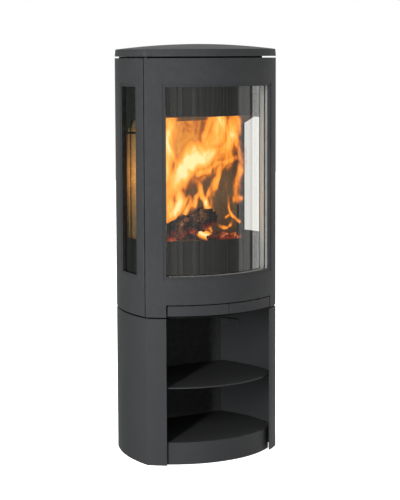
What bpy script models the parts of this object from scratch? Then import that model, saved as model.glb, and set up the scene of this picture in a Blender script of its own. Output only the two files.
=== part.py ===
"""Wood burning stove on an open pedestal: a bowed door with curved glass, two side windows,
a domed top plate, a rear flue collar and two storage compartments below.

Frame: metres, +Z up, the door faces -Y, origin on the floor under the middle of the stove.
"""

import math

import bmesh
import bpy
from mathutils import Matrix, Vector

# ---- Driving dimensions of the plan ------------------------------------------------------
HALF_WIDTH = 0.2227  # from the middle to the crease where the front meets a side
FRONT_BULGE = 0.0915  # how far the bowed front stands out from the line between the creases
SIDE_DEPTH = 0.2542  # from the creases to the flat back
BACK_HALF = 0.1822  # half the width of the back
SIDE_BULGE = 0.0190  # how far a side bows out of its chord
COLLAR_OUT = 0.0400  # how far the flue collar stands out of the back
OPENING_HALF = 0.1780  # half width of the door's window and of the pedestal's opening

# ---- Driving dimensions of the height ----------------------------------------------------
PEDESTAL_TOP = 0.4290
JOINT_HEIGHT = 0.0045  # between the pedestal and the body
BODY_HEIGHT = 0.7380
NECK_HEIGHT = 0.0047  # between the body and the top plate
PLATE_EDGE = 0.0210  # height of the top plate's rim
DOME = 0.0150  # how far the dome rises above that rim
LOWER_RAIL = 0.1165  # from the body's bottom to the windows
UPPER_RAIL = 0.0810  # from the windows to the body's top
FIRE_SILL = 0.2145  # from the body's bottom to the opening into the fire
FIRE_HEAD = 0.1665  # from that opening to the body's top
HEARTH_DROP = 0.0280  # the hearth below the opening
BRICK_DROP = 0.0550  # the back brick below the top of the opening
SHELF_TOP = 0.2270
FLOOR_TOP = 0.0653
LUG_DROP = 0.0650  # the upper lugs below the pedestal's top
FLUE_RADIUS = 0.0745
FLUE_CLEAR = 0.0320  # from the flue to the body's top
ASH_SHELF_RISE = 0.0455  # the ash shelf above the body's bottom
ASH_PAN_HEIGHT = 0.0545

# ---- Sheet, clearances and small sizes ---------------------------------------------------
SHEET = 0.0040
GAP = 0.0003  # between pieces that touch
BASE_LIFT = 0.0010  # pedestal walls above the floor that the feet stand on
RETURN = 0.0160  # width of the flanges folded in at the back
KNUCKLE = 0.0060  # radius of the door's vertical edges
DOOR_GAP = 0.0015  # between the door's edge and a side
JAMB = 0.0090  # depth of the door frame in front of the glass seal
FRAME_DEPTH = 0.0226
LINER_DEPTH = 0.0340
SEAL_DEPTH = 0.0402
FRONT_PLATE = 0.0405  # where the firebox front starts, behind the door
FRONT_PLATE_BACK = 0.0445
STRIP_THICK = 0.0060
STRIP_RISE = 0.0033  # the strips above the body's bottom
STRIP_HEIGHT = 0.0292
STRIP_CLEAR = 0.0030  # between the strips and the door above them
STRIP_END_CLEAR = 0.0035  # between the strips and the ends of the door's notch
STRIP_SPLIT = 0.0009  # half the line between the air control and the handle
PIN_RADIUS = 0.0030
PIN_BORE = 0.00307
SHAFT_RADIUS = 0.0035
SHAFT_INSET = 0.0105
SIDE_WINDOW_FRONT = 0.0510
SIDE_WINDOW_BACK = 0.1560
SIDE_PLATE = 0.0183
RECESS = 0.0141  # shelf and plinth behind the pedestal's front flanges
INNER_SIDE = SHEET + 0.0005
INNER_BACK = 2 * SHEET + 0.0015
AIR_TRAVEL = 0.0200
ARC_STEPS = 24
STRIP_STEPS = 12
SIDE_STEPS = 8

# ---- Heights worked out from the dimensions above ----------------------------------------
BODY_BOTTOM = PEDESTAL_TOP + JOINT_HEIGHT
BODY_TOP = BODY_BOTTOM + BODY_HEIGHT
PLATE_BOTTOM = BODY_TOP + NECK_HEIGHT
WINDOW_BOTTOM = BODY_BOTTOM + LOWER_RAIL
WINDOW_TOP = BODY_TOP - UPPER_RAIL
FIRE_BOTTOM = BODY_BOTTOM + FIRE_SILL
FIRE_TOP = BODY_TOP - FIRE_HEAD
HEARTH_TOP = FIRE_BOTTOM - HEARTH_DROP
FLUE_HEIGHT = BODY_TOP - FLUE_RADIUS - FLUE_CLEAR
STRIP_BOTTOM = BODY_BOTTOM + STRIP_RISE
STRIP_TOP = STRIP_BOTTOM + STRIP_HEIGHT
NOTCH_TOP = STRIP_TOP + STRIP_CLEAR
ASH_SHELF = BODY_BOTTOM + ASH_SHELF_RISE
ASH_PAN_BOTTOM = ASH_SHELF + 0.0035
ASH_PAN_TOP = ASH_PAN_BOTTOM + ASH_PAN_HEIGHT

# ---- Plan geometry worked out from the dimensions above ----------------------------------
CREASE_Y = (FRONT_BULGE - SIDE_DEPTH - COLLAR_OUT) / 2
BACK_Y = CREASE_Y + SIDE_DEPTH
FRONT_RADIUS = (HALF_WIDTH**2 + FRONT_BULGE**2) / (2 * FRONT_BULGE)
FRONT_CENTRE = Vector((0.0, CREASE_Y + FRONT_RADIUS - FRONT_BULGE))
CHORD = Vector((BACK_HALF - HALF_WIDTH, SIDE_DEPTH))
SIDE_RADIUS = (CHORD.length_squared / 4 + SIDE_BULGE**2) / (2 * SIDE_BULGE)
SIDE_CENTRE = (
    Vector((HALF_WIDTH, CREASE_Y))
    + CHORD / 2
    - Vector((CHORD.y, -CHORD.x)).normalized() * (SIDE_RADIUS - SIDE_BULGE)
)
OPENING_ANGLE = math.asin(OPENING_HALF / FRONT_RADIUS)
STRIP_HALF = OPENING_HALF - STRIP_END_CLEAR


def front_point(inset, angle):
    """A point inset from the bowed front, at an angle from the middle, positive to the right."""
    return FRONT_CENTRE + (FRONT_RADIUS - inset) * Vector((math.sin(angle), -math.cos(angle)))


def front_arc(inset, start, end, steps=ARC_STEPS):
    return [front_point(inset, start + (end - start) * i / steps) for i in range(steps + 1)]


def side_point(inset, y):
    """A point inset from the right side, at a distance y from the stove's middle."""
    reach = SIDE_RADIUS - inset
    return Vector((SIDE_CENTRE.x + math.sqrt(reach**2 - (y - SIDE_CENTRE.y) ** 2), y))


def side_arc(inset, start, end, steps=SIDE_STEPS):
    return [side_point(inset, start + (end - start) * i / steps) for i in range(steps + 1)]


def corner(front_inset, side_inset):
    """Where the inset front meets the inset right side."""
    across = SIDE_CENTRE - FRONT_CENTRE
    front_reach = FRONT_RADIUS - front_inset
    side_reach = SIDE_RADIUS - side_inset
    along = (front_reach**2 - side_reach**2 + across.length_squared) / (2 * across.length)
    off = math.sqrt(front_reach**2 - along**2)
    direction = across.normalized()
    return FRONT_CENTRE + direction * along + Vector((-direction.y, direction.x)) * off


def front_angle(point):
    return math.atan2(point.x - FRONT_CENTRE.x, FRONT_CENTRE.y - point.y)


def line_to_side(start, direction, inset):
    """Where a line leaving start meets the inset right side going outwards."""
    away = start - SIDE_CENTRE
    along = away.dot(direction)
    reach = (SIDE_RADIUS - inset) ** 2
    return start + direction * (-along + math.sqrt(along**2 - away.length_squared + reach))


def mirrored(points):
    return [Vector((-point.x, point.y)) for point in reversed(points)]


def plan_outline(front_inset, side_inset, back_y):
    """The stove's plan, inset, as one closed outline."""
    meet = corner(front_inset, side_inset)
    angle = front_angle(meet)
    right = side_arc(side_inset, meet.y, back_y)[1:]
    return front_arc(front_inset, -angle, angle) + right + mirrored(right)


def front_band(outer, inner, start, end, steps=ARC_STEPS):
    return front_arc(outer, start, end, steps) + front_arc(inner, end, start, steps)


def side_band(outer, inner, start, end):
    return side_arc(outer, start, end) + side_arc(inner, end, start)


def rectangle(low_x, low_y, high_x, high_y):
    return [
        Vector((low_x, low_y)),
        Vector((high_x, low_y)),
        Vector((high_x, high_y)),
        Vector((low_x, high_y)),
    ]


def circle(centre, radius, steps=32):
    turns = [2 * math.pi * i / steps for i in range(steps)]
    return [centre + radius * Vector((math.cos(turn), math.sin(turn))) for turn in turns]


# The door turns about a pin that both of its faces wrap round; the handle about its shaft.
RIGHT_EDGE = corner(KNUCKLE, KNUCKLE)
EDGE_OUT = (RIGHT_EDGE - FRONT_CENTRE).normalized()
EDGE_BACK = Vector((-EDGE_OUT.y, EDGE_OUT.x))
EDGE_ANGLE = front_angle(RIGHT_EDGE)
HINGE = Vector((-RIGHT_EDGE.x, RIGHT_EDGE.y))
STRIP_ANGLE = math.asin(STRIP_HALF / FRONT_RADIUS)
SHAFT_ANGLE = STRIP_ANGLE - 0.030 / (FRONT_RADIUS - SHAFT_INSET)
SHAFT = front_point(SHAFT_INSET, SHAFT_ANGLE)
AIR_X = -0.0800
AIR_Y = CREASE_Y + 0.0600


# ---- Modelling helpers -------------------------------------------------------------------
def new_collection(name):
    found = bpy.data.collections.new(name)
    bpy.context.scene.collection.children.link(found)
    return found


for leftover in list(bpy.data.objects):
    bpy.data.objects.remove(leftover, do_unlink=True)
STOVE = new_collection("stove")
CUTTERS = new_collection("cutters")


def material(name, colour, roughness, metallic=0.0, transmission=0.0):
    made = bpy.data.materials.new(name)
    made.use_nodes = True
    shader = made.node_tree.nodes["Principled BSDF"]
    shader.inputs["Base Color"].default_value = (*colour, 1.0)
    shader.inputs["Roughness"].default_value = roughness
    shader.inputs["Metallic"].default_value = metallic
    shader.inputs["Transmission Weight"].default_value = transmission
    made.diffuse_color = (*colour, 1.0)
    return made


PAINT = material("stove_paint", (0.070, 0.071, 0.070), 0.55, 0.3)
DARK_STEEL = material("dark_steel", (0.020, 0.021, 0.022), 0.60, 0.5)
BARE_STEEL = material("bare_steel", (0.350, 0.350, 0.350), 0.35, 1.0)
GLASS = material("ceramic_glass", (0.800, 0.790, 0.750), 0.05, 0.0, 0.9)
ROPE = material("seal_rope", (0.030, 0.030, 0.032), 0.95)
BRICK = material("firebrick", (0.420, 0.380, 0.310), 0.95)
IRON = material("cast_iron", (0.025, 0.024, 0.023), 0.75, 0.6)
CHAR = material("charred_wood", (0.030, 0.018, 0.012), 0.95)


def add_object(name, mesh, shade, home=None):
    made = bpy.data.objects.new(name, mesh)
    (home or STOVE).objects.link(made)
    if shade:
        mesh.materials.append(shade)
    return made


def slab(name, outlines, low, high, shade):
    """A flat piece between two heights, whose first outline is its rim and the rest its holes."""
    curve = bpy.data.curves.new(name, "CURVE")
    curve.dimensions = "2D"
    curve.fill_mode = "BOTH"
    curve.extrude = (high - low) / 2
    for outline in outlines:
        spline = curve.splines.new("POLY")
        spline.points.add(len(outline) - 1)
        spline.use_cyclic_u = True
        for point, place in zip(spline.points, outline):
            point.co = (place.x, place.y, 0.0, 1.0)
    drawn = bpy.data.objects.new(name, curve)
    CUTTERS.objects.link(drawn)
    bpy.context.view_layer.update()
    evaluated = drawn.evaluated_get(bpy.context.evaluated_depsgraph_get())
    mesh = bpy.data.meshes.new_from_object(evaluated)
    bpy.data.objects.remove(drawn)
    bpy.data.curves.remove(curve)
    solid = bmesh.new()
    solid.from_mesh(mesh)
    bmesh.ops.remove_doubles(solid, verts=solid.verts, dist=1e-6)
    bmesh.ops.recalc_face_normals(solid, faces=solid.faces)
    bmesh.ops.translate(solid, verts=solid.verts, vec=(0.0, 0.0, (low + high) / 2))
    solid.to_mesh(mesh)
    solid.free()
    mesh.name = name
    mesh.materials.clear()
    return add_object(name, mesh, shade)


def cylinder(name, radius, start, end, shade, steps=24):
    """A round bar from one point to another."""
    start = Vector(start)
    end = Vector(end)
    solid = bmesh.new()
    bmesh.ops.create_cone(
        solid,
        cap_ends=True,
        segments=steps,
        radius1=radius,
        radius2=radius,
        depth=(end - start).length,
    )
    turn = (end - start).to_track_quat("Z", "Y").to_matrix().to_4x4()
    solid.transform(Matrix.Translation((start + end) / 2) @ turn)
    mesh = bpy.data.meshes.new(name)
    solid.to_mesh(mesh)
    solid.free()
    return add_object(name, mesh, shade)


def box(name, low, high, shade):
    low = Vector(low)
    high = Vector(high)
    solid = bmesh.new()
    bmesh.ops.create_cube(solid, size=1.0)
    solid.transform(Matrix.Translation((low + high) / 2) @ Matrix.Diagonal((*(high - low), 1.0)))
    mesh = bpy.data.meshes.new(name)
    solid.to_mesh(mesh)
    solid.free()
    return add_object(name, mesh, shade)


def turned(name, profile, place, shade, steps=36):
    """A ring-shaped piece whose profile of (radius, distance) turns about a line along +Y."""
    mesh = bpy.data.meshes.new(name)
    points = [(radius, 0.0, distance) for radius, distance in profile]
    edges = [(i, (i + 1) % len(points)) for i in range(len(points))]
    mesh.from_pydata(points, edges, [])
    made = add_object(name, mesh, shade)
    made.rotation_euler = (-math.pi / 2, 0.0, 0.0)
    made.location = place
    screw = made.modifiers.new("turn", "SCREW")
    screw.steps = steps
    screw.render_steps = steps
    screw.use_merge_vertices = True
    screw.merge_threshold = 0.00001
    return made


def hide_cutter(cutter):
    for home in list(cutter.users_collection):
        home.objects.unlink(cutter)
    CUTTERS.objects.link(cutter)
    cutter.hide_render = True
    cutter.display_type = "WIRE"


def cut(piece, *cutters):
    for cutter in cutters:
        boolean = piece.modifiers.new("cut " + cutter.name, "BOOLEAN")
        boolean.operation = "DIFFERENCE"
        boolean.solver = "EXACT"
        boolean.object = cutter
        hide_cutter(cutter)
    return piece


def join(piece, *others):
    for other in others:
        boolean = piece.modifiers.new("join " + other.name, "BOOLEAN")
        boolean.operation = "UNION"
        boolean.solver = "EXACT"
        boolean.object = other
        hide_cutter(other)
    return piece


def front_wedge(name, angle, low, high, outer=-0.05, inner=0.10):
    """A cutter through the bowed front, between two angles and two heights."""
    return slab(name, [front_band(outer, inner, -angle, angle, 24)], low, high, None)


def side_wedge(name, front, back, low, high, outer=-0.05, inner=0.05):
    """A cutter through the right side, square to it, between two distances and two heights."""
    ends = []
    for distance in (front, back):
        out = (side_point(0.0, CREASE_Y + distance) - SIDE_CENTRE).normalized()
        ends.append([SIDE_CENTRE + out * (SIDE_RADIUS - inset) for inset in (outer, inner)])
    return slab(name, [[ends[0][0], ends[1][0], ends[1][1], ends[0][1]]], low, high, None)


def mirror_copy(piece, name):
    """The same piece on the other side of the stove, as its own object and mesh."""
    bpy.context.view_layer.update()
    graph = bpy.context.evaluated_depsgraph_get()
    mesh = bpy.data.meshes.new_from_object(piece.evaluated_get(graph))
    solid = bmesh.new()
    solid.from_mesh(mesh)
    solid.transform(Matrix.Diagonal((-1.0, 1.0, 1.0, 1.0)) @ piece.matrix_world)
    bmesh.ops.reverse_faces(solid, faces=solid.faces)
    solid.to_mesh(mesh)
    solid.free()
    mesh.name = name
    return add_object(name, mesh, None)


def pair(right):
    """Adds the left copy of a piece named ..._right."""
    return mirror_copy(right, right.name.replace("right", "left"))


# ---- Pedestal ----------------------------------------------------------------------------
def wall_outline(start_outer, start_inner):
    """A folded side wall seen from above: its front stretch, the side and the return at the back."""
    end_y = BACK_Y - SHEET - GAP
    tip = side_point(0.0, end_y).x - RETURN
    outer = start_outer + side_arc(0.0, start_outer[-1].y, end_y)[1:]
    fold = [Vector((tip, end_y)), Vector((tip, end_y - SHEET))]
    inner = side_arc(SHEET, end_y - SHEET, start_inner[0].y)
    return outer + fold + inner[:-1] + start_inner


def pedestal_walls():
    outer_angle = front_angle(corner(0.0, 0.0))
    inner_angle = front_angle(corner(SHEET, SHEET))
    outline = wall_outline(
        front_arc(0.0, OPENING_ANGLE, outer_angle, 6),
        front_arc(SHEET, inner_angle, OPENING_ANGLE, 6),
    )
    return pair(slab("pedestal_wall_right", [outline], BASE_LIFT, PEDESTAL_TOP, PAINT))


def pedestal():
    pedestal_walls()
    back = (-BACK_HALF, BACK_Y - SHEET, BASE_LIFT), (BACK_HALF, BACK_Y, PEDESTAL_TOP)
    box("pedestal_back_panel", *back, PAINT)
    inner_back = BACK_Y - INNER_BACK
    floor = plan_outline(RECESS + SHEET + GAP, INNER_SIDE, inner_back)
    slab("pedestal_floor", [floor], FLOOR_TOP - SHEET, FLOOR_TOP, DARK_STEEL)
    reach = OPENING_ANGLE + math.radians(4.0)
    front = front_band(RECESS, RECESS + SHEET, -reach, reach)
    slab("plinth", [front], BASE_LIFT, FLOOR_TOP, PAINT)
    shelf = plan_outline(RECESS, INNER_SIDE, inner_back)
    slab("shelf", [shelf], SHELF_TOP - SHEET, SHELF_TOP, DARK_STEEL)
    top = [plan_outline(0.040, INNER_SIDE, inner_back), circle(Vector((AIR_X, AIR_Y)), 0.042)]
    slab("pedestal_top_plate", top, PEDESTAL_TOP - SHEET - GAP, PEDESTAL_TOP - GAP, DARK_STEEL)
    ring = [
        plan_outline(0.058, 0.024, BACK_Y - 0.024),
        plan_outline(0.074, 0.040, BACK_Y - 0.040),
    ]
    slab("joint_ring", ring, PEDESTAL_TOP, BODY_BOTTOM - 2 * GAP, DARK_STEEL)
    for name, height in (("shelf_bracket", SHELF_TOP - SHEET), ("upper_lug", PEDESTAL_TOP - LUG_DROP)):
        pair(side_bracket(name + "_right", height))
    foot_rows = (("front", CREASE_Y + 0.030), ("back", BACK_Y - 0.040))
    for row, y in foot_rows:
        for side, x in (("left", -0.145), ("right", 0.145)):
            foot("foot_" + row + "_" + side, x, y)


def side_bracket(name, top):
    """An angle on the right wall near the back: one leg on the wall, the other under its load."""
    start = BACK_Y - 0.078
    end = BACK_Y - 0.020
    wall = side_band(INNER_SIDE, INNER_SIDE + 0.002, start, end)
    ledge = side_band(INNER_SIDE, INNER_SIDE + 0.014, start, end)
    leg = slab(name + "_leg", [wall], top - 0.018, top - 0.001, None)
    return join(slab(name, [ledge], top - GAP - 0.002, top - GAP, PAINT), leg)


def foot(name, x, y):
    disc = cylinder(name, 0.018, (x, y, 0.0), (x, y, 0.009), DARK_STEEL)
    stud = cylinder(name + "_stud", 0.004, (x, y, 0.008), (x, y, FLOOR_TOP - SHEET - GAP), None, 16)
    return join(disc, stud)


# ---- Body --------------------------------------------------------------------------------
def body_sides():
    """Side panels with a flange folded in beside the door's edge, and their windows' parts."""
    offset = KNUCKLE + DOOR_GAP
    depth = FRONT_PLATE_BACK - KNUCKLE
    door_side = RIGHT_EDGE + EDGE_BACK * offset
    far_side = door_side + EDGE_BACK * SHEET
    flange = [door_side - EDGE_OUT * depth, line_to_side(door_side, EDGE_OUT, 0.0)]
    flange_back = [line_to_side(far_side, EDGE_OUT, SHEET), far_side - EDGE_OUT * depth]
    outline = wall_outline(flange, flange_back)
    panel = slab("side_panel_right", [outline], BODY_BOTTOM, BODY_TOP, PAINT)
    window = side_wedge("side_window", SIDE_WINDOW_FRONT, SIDE_WINDOW_BACK, WINDOW_BOTTOM, WINDOW_TOP)
    pair(cut(panel, window))
    side_rings = (
        ("window_surround_right", SHEET + GAP, 0.0097, 0.0, DARK_STEEL),
        ("glass_retainer_right", 0.0141, SIDE_PLATE - GAP, 0.003, DARK_STEEL),
    )
    for name, outer, inner, ease, shade in side_rings:
        ring = side_plate(name, outer, inner, 0.010, shade)
        hole = side_wedge(
            name + "_hole",
            SIDE_WINDOW_FRONT - ease,
            SIDE_WINDOW_BACK + ease,
            WINDOW_BOTTOM - ease,
            WINDOW_TOP + ease,
        )
        pair(cut(ring, hole))
    pair(side_plate("side_glass_right", 0.0100, 0.0138, 0.008, GLASS))


def side_plate(name, outer, inner, margin, shade):
    """A plate behind the side window, larger than it by the margin."""
    start = CREASE_Y + SIDE_WINDOW_FRONT - margin
    end = CREASE_Y + SIDE_WINDOW_BACK + margin
    band = side_band(outer, inner, start, end)
    return slab(name, [band], WINDOW_BOTTOM - margin, WINDOW_TOP + margin, shade)


def body_shell():
    body_sides()
    inner_back = BACK_Y - INNER_BACK
    inner_front = FRONT_PLATE_BACK + 0.0010
    inlet = circle(Vector((AIR_X, AIR_Y)), 0.032)
    base = [plan_outline(inner_front, INNER_SIDE, inner_back), inlet]
    slab("base_plate", base, BODY_BOTTOM - GAP, BODY_BOTTOM + SHEET, DARK_STEEL)
    back = box(
        "back_panel",
        (-BACK_HALF, BACK_Y - SHEET, BODY_BOTTOM),
        (BACK_HALF, BACK_Y, BODY_TOP),
        PAINT,
    )
    cut(back, flue_cutter("back_hole", FLUE_RADIUS + 0.006, BACK_Y))
    cover = [plan_outline(inner_front, INNER_SIDE, inner_back)]
    slab("cover_plate", cover, BODY_TOP - 0.0075, BODY_TOP - 0.0035, DARK_STEEL)
    neck = [
        plan_outline(0.047, 0.012, BACK_Y - 0.012),
        plan_outline(0.064, 0.030, BACK_Y - 0.030),
    ]
    slab("neck_ring", neck, BODY_TOP - 0.0035 + GAP, PLATE_BOTTOM - GAP, DARK_STEEL)
    top_plate()
    for name, low, length, pin_low, pin_high in (
        ("lower", BODY_BOTTOM - 0.0037, 0.050, BODY_BOTTOM - GAP, BODY_BOTTOM + 0.026),
        ("upper", PLATE_BOTTOM - 0.0033, 0.036, BODY_TOP - 0.026, PLATE_BOTTOM - 0.0036),
    ):
        hinge_bracket(name + "_hinge_bracket", low, length)
        pin = (*HINGE, pin_low), (*HINGE, pin_high)
        cylinder(name + "_hinge_pin", PIN_RADIUS, *pin, BARE_STEEL)


def hinge_bracket(name, low, length):
    """A thin strap that carries a hinge pin, from the pin in to the fixed plates."""
    inward = (FRONT_CENTRE - HINGE).normalized()
    across = Vector((-inward.y, inward.x)) * 0.0045
    start = HINGE - inward * 0.0040
    end = HINGE + inward * length
    strap = [start + across, end + across, end - across, start - across]
    return slab(name, [strap], low, low + 0.0030, DARK_STEEL)


def flue_cutter(name, radius, y):
    centre = Vector((0.0, y, FLUE_HEIGHT))
    reach = Vector((0.0, 0.02, 0.0))
    return cylinder(name, radius, centre - reach, centre + reach, None, 36)


def top_plate():
    """A plate with a slightly drawn-in rim and a low dome, hollow underneath."""
    outline = plan_outline(0.0, 0.0, BACK_Y)
    middle = Vector((0.0, (CREASE_Y - FRONT_BULGE + BACK_Y) / 2))
    drawn_in = 0.991
    rings = [(1.0, PLATE_BOTTOM)]
    rings.append((drawn_in, PLATE_BOTTOM + PLATE_EDGE - 0.0015))
    steps = 5
    for i in range(steps):
        share = 1.0 - i / steps
        rings.append((drawn_in * share - 0.006 * share, dome_height(share)))
    mesh = bpy.data.meshes.new("top_plate")
    solid = bmesh.new()
    loops = []
    for scale, height in rings:
        places = [middle + (point - middle) * scale for point in outline]
        loops.append([solid.verts.new((place.x, place.y, height)) for place in places])
    peak = solid.verts.new((middle.x, middle.y, dome_height(0.0)))
    count = len(outline)
    for below, above in zip(loops, loops[1:]):
        for i in range(count):
            j = (i + 1) % count
            solid.faces.new((below[i], below[j], above[j], above[i]))
    for i in range(count):
        solid.faces.new((loops[-1][i], loops[-1][(i + 1) % count], peak))
    solid.faces.new(reversed(loops[0]))
    solid.to_mesh(mesh)
    solid.free()
    plate = add_object("top_plate", mesh, PAINT)
    hollow = plan_outline(0.070, 0.034, BACK_Y - 0.034)
    cut(plate, slab("top_hollow", [hollow], PLATE_BOTTOM - 0.01, PLATE_BOTTOM + 0.013, None))


def dome_height(share):
    return PLATE_BOTTOM + PLATE_EDGE + DOME * (1.0 - share**2)


# ---- Firebox -----------------------------------------------------------------------------
def firebox():
    front_end = front_angle(RIGHT_EDGE + EDGE_BACK * (KNUCKLE + DOOR_GAP - 0.0005))
    front = front_band(FRONT_PLATE, FRONT_PLATE_BACK, -front_end, front_end)
    plate = slab("firebox_front", [front], NOTCH_TOP + 0.003, BODY_TOP - 0.0080, DARK_STEEL)
    cut(
        plate,
        front_wedge("fire_opening", OPENING_ANGLE * 1.13, FIRE_BOTTOM, FIRE_TOP),
        box(
            "ash_opening",
            (-0.121, -0.4, ASH_SHELF + 0.001),
            (0.121, CREASE_Y + 0.02, ASH_PAN_TOP + 0.005),
            None,
        ),
    )
    side_end = CREASE_Y + 0.164
    start = corner(FRONT_PLATE_BACK + 0.001, SIDE_PLATE).y + 0.002
    low = BODY_BOTTOM + SHEET + GAP
    high = BODY_TOP - 0.0078
    band = side_band(SIDE_PLATE, SIDE_PLATE + 0.002, start, side_end)
    side = slab("firebox_side_right", [band], low, high, DARK_STEEL)
    pair(cut(side, side_fire_cutter()))
    hearth()
    back_low = (-0.190, CREASE_Y + 0.1645, HEARTH_TOP - 0.028)
    box("back_brick", back_low, (0.190, CREASE_Y + 0.1895, FIRE_TOP - BRICK_DROP), BRICK)
    carcass = box(
        "firebox_back",
        (-0.182, CREASE_Y + 0.2000, low),
        (0.182, CREASE_Y + 0.2030, high),
        DARK_STEEL,
    )
    cut(carcass, flue_cutter("carcass_hole", FLUE_RADIUS - 0.002, CREASE_Y + 0.2015))
    baffle()
    flue_collar()


def side_fire_cutter():
    """The clear area of the firebox side: level, with its upper rear corner cut away."""
    front = CREASE_Y + SIDE_WINDOW_FRONT - 0.009
    back = CREASE_Y + SIDE_WINDOW_BACK - 0.002
    top = FIRE_TOP - 0.011
    profile = [
        Vector((front, FIRE_BOTTOM)),
        Vector((back, FIRE_BOTTOM)),
        Vector((back, top - 0.030)),
        Vector((back - 0.046, top)),
        Vector((front, top)),
    ]
    cutter = slab("side_fire", [profile], 0.12, 0.30, None)
    cutter.data.transform(Matrix(((0, 0, 1, 0), (1, 0, 0, 0), (0, 1, 0, 0), (0, 0, 0, 1))))
    return cutter


def hearth():
    """The brick floor with its grate, the ash chamber below and the pan in it."""
    top = HEARTH_TOP
    back = CREASE_Y + 0.1635
    outline = plan_outline(FRONT_PLATE_BACK + 0.001, SIDE_PLATE + 0.0025, back)
    floor = slab("hearth", [outline], top - 0.028, top, BRICK)
    middle = CREASE_Y + 0.060
    through = box("grate_shaft", (-0.065, middle - 0.045, 0.5), (0.065, middle + 0.045, 0.7), None)
    seat_low = (-0.075, middle - 0.055, top - 0.012)
    seat = box("grate_seat", seat_low, (0.075, middle + 0.055, 0.7), None)
    cut(floor, through, seat)
    bars = [rectangle(-0.0745, middle - 0.0545, 0.0745, middle + 0.0545)]
    for i in range(9):
        x = -0.056 + 0.014 * i
        bars.append(rectangle(x - 0.003, middle - 0.038, x + 0.003, middle + 0.038))
    slab("grate", bars, top - 0.012 + GAP, top, IRON)
    chamber_low = BODY_BOTTOM + SHEET + GAP
    rear = CREASE_Y + 0.150
    front = CREASE_Y + 0.010
    walls = [
        Vector((-0.137, front)),
        Vector((-0.134, front)),
        Vector((-0.134, rear - 0.003)),
        Vector((0.134, rear - 0.003)),
        Vector((0.134, front)),
        Vector((0.137, front)),
        Vector((0.137, rear)),
        Vector((-0.137, rear)),
    ]
    slab("ash_chamber", [walls], chamber_low, top - 0.028 - GAP, DARK_STEEL)
    shelf_low = (-0.1335, front, ASH_SHELF)
    box("ash_shelf", shelf_low, (0.1335, rear - 0.0035, ASH_SHELF + 0.003), DARK_STEEL)
    pan_front = front_point(FRONT_PLATE_BACK, math.asin(0.118 / FRONT_RADIUS)).y + 0.006
    pan = box("ash_pan", (-0.116, pan_front, ASH_PAN_BOTTOM), (0.116, rear - 0.012, ASH_PAN_TOP), DARK_STEEL)
    pan_inner = (-0.1145, pan_front + 0.0015, ASH_PAN_BOTTOM + 0.0015), (0.1145, rear - 0.0135, HEARTH_TOP)
    cut(pan, box("pan_hollow", *pan_inner, None))


def baffle():
    """A plate over the fire that falls to the back, so that smoke leaves over its front edge."""
    front = CREASE_Y + 0.046
    back = CREASE_Y + 0.163
    low_back = FIRE_TOP - 0.048
    profile = [
        Vector((front, FIRE_TOP - 0.002)),
        Vector((back, low_back)),
        Vector((back, low_back + 0.022)),
        Vector((front, FIRE_TOP + 0.020)),
    ]
    plate = slab("baffle", [profile], -0.188, 0.188, BRICK)
    plate.data.transform(Matrix(((0, 0, 1, 0), (1, 0, 0, 0), (0, 1, 0, 0), (0, 0, 0, 1))))


def flue_collar():
    """The collar that a flue pipe slides over, with the flange that holds it inside."""
    bore = FLUE_RADIUS - 0.003
    start = CREASE_Y + 0.2030 + GAP
    length = BACK_Y + COLLAR_OUT - start
    profile = [
        (FLUE_RADIUS, length),
        (FLUE_RADIUS, 0.003),
        (FLUE_RADIUS + 0.014, 0.003),
        (FLUE_RADIUS + 0.014, 0.0),
        (bore, 0.0),
        (bore, length),
    ]
    turned("flue_collar", profile, (0.0, start, FLUE_HEIGHT), IRON)


def logs():
    """Two split logs on the hearth, the upper one leaning over the lower."""
    split_log("log_lower", 0.026, 0.150, (0.040, CREASE_Y + 0.050, HEARTH_TOP + 0.0180), (0, 0, -46))
    split_log("log_upper", 0.043, 0.200, (-0.057, CREASE_Y + 0.060, HEARTH_TOP + 0.0590), (3, -15, 8))


def split_log(name, radius, length, place, turn):
    """A log split along its length: a round bark side over two sawn-off flats."""
    arc = [math.radians(-30 + 240 * i / 10) for i in range(11)]
    bark = [radius * Vector((math.cos(a), math.sin(a) * 0.86)) for a in arc]
    split = [Vector((-0.42 * radius, -0.55 * radius)), Vector((0.40 * radius, -0.62 * radius))]
    log = slab(name, [bark + split], -length / 2, length / 2, CHAR)
    log.data.transform(Matrix.Rotation(math.pi / 2, 4, "Y") @ Matrix.Rotation(math.pi / 2, 4, "Z"))
    log.location = place
    log.rotation_euler = [math.radians(angle) for angle in turn]


# ---- Air control -------------------------------------------------------------------------
def split_angles(x):
    """Outer and inner angle of a strip's end at the split, cut along the line the door swings on."""
    outer = front_point(0.0, math.asin(x / FRONT_RADIUS))
    arm = outer - HINGE
    inward = Vector((-arm.y, arm.x)).normalized()
    inner = outer + inward * (STRIP_THICK / inward.y)
    return front_angle(outer), front_angle(inner)


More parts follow.
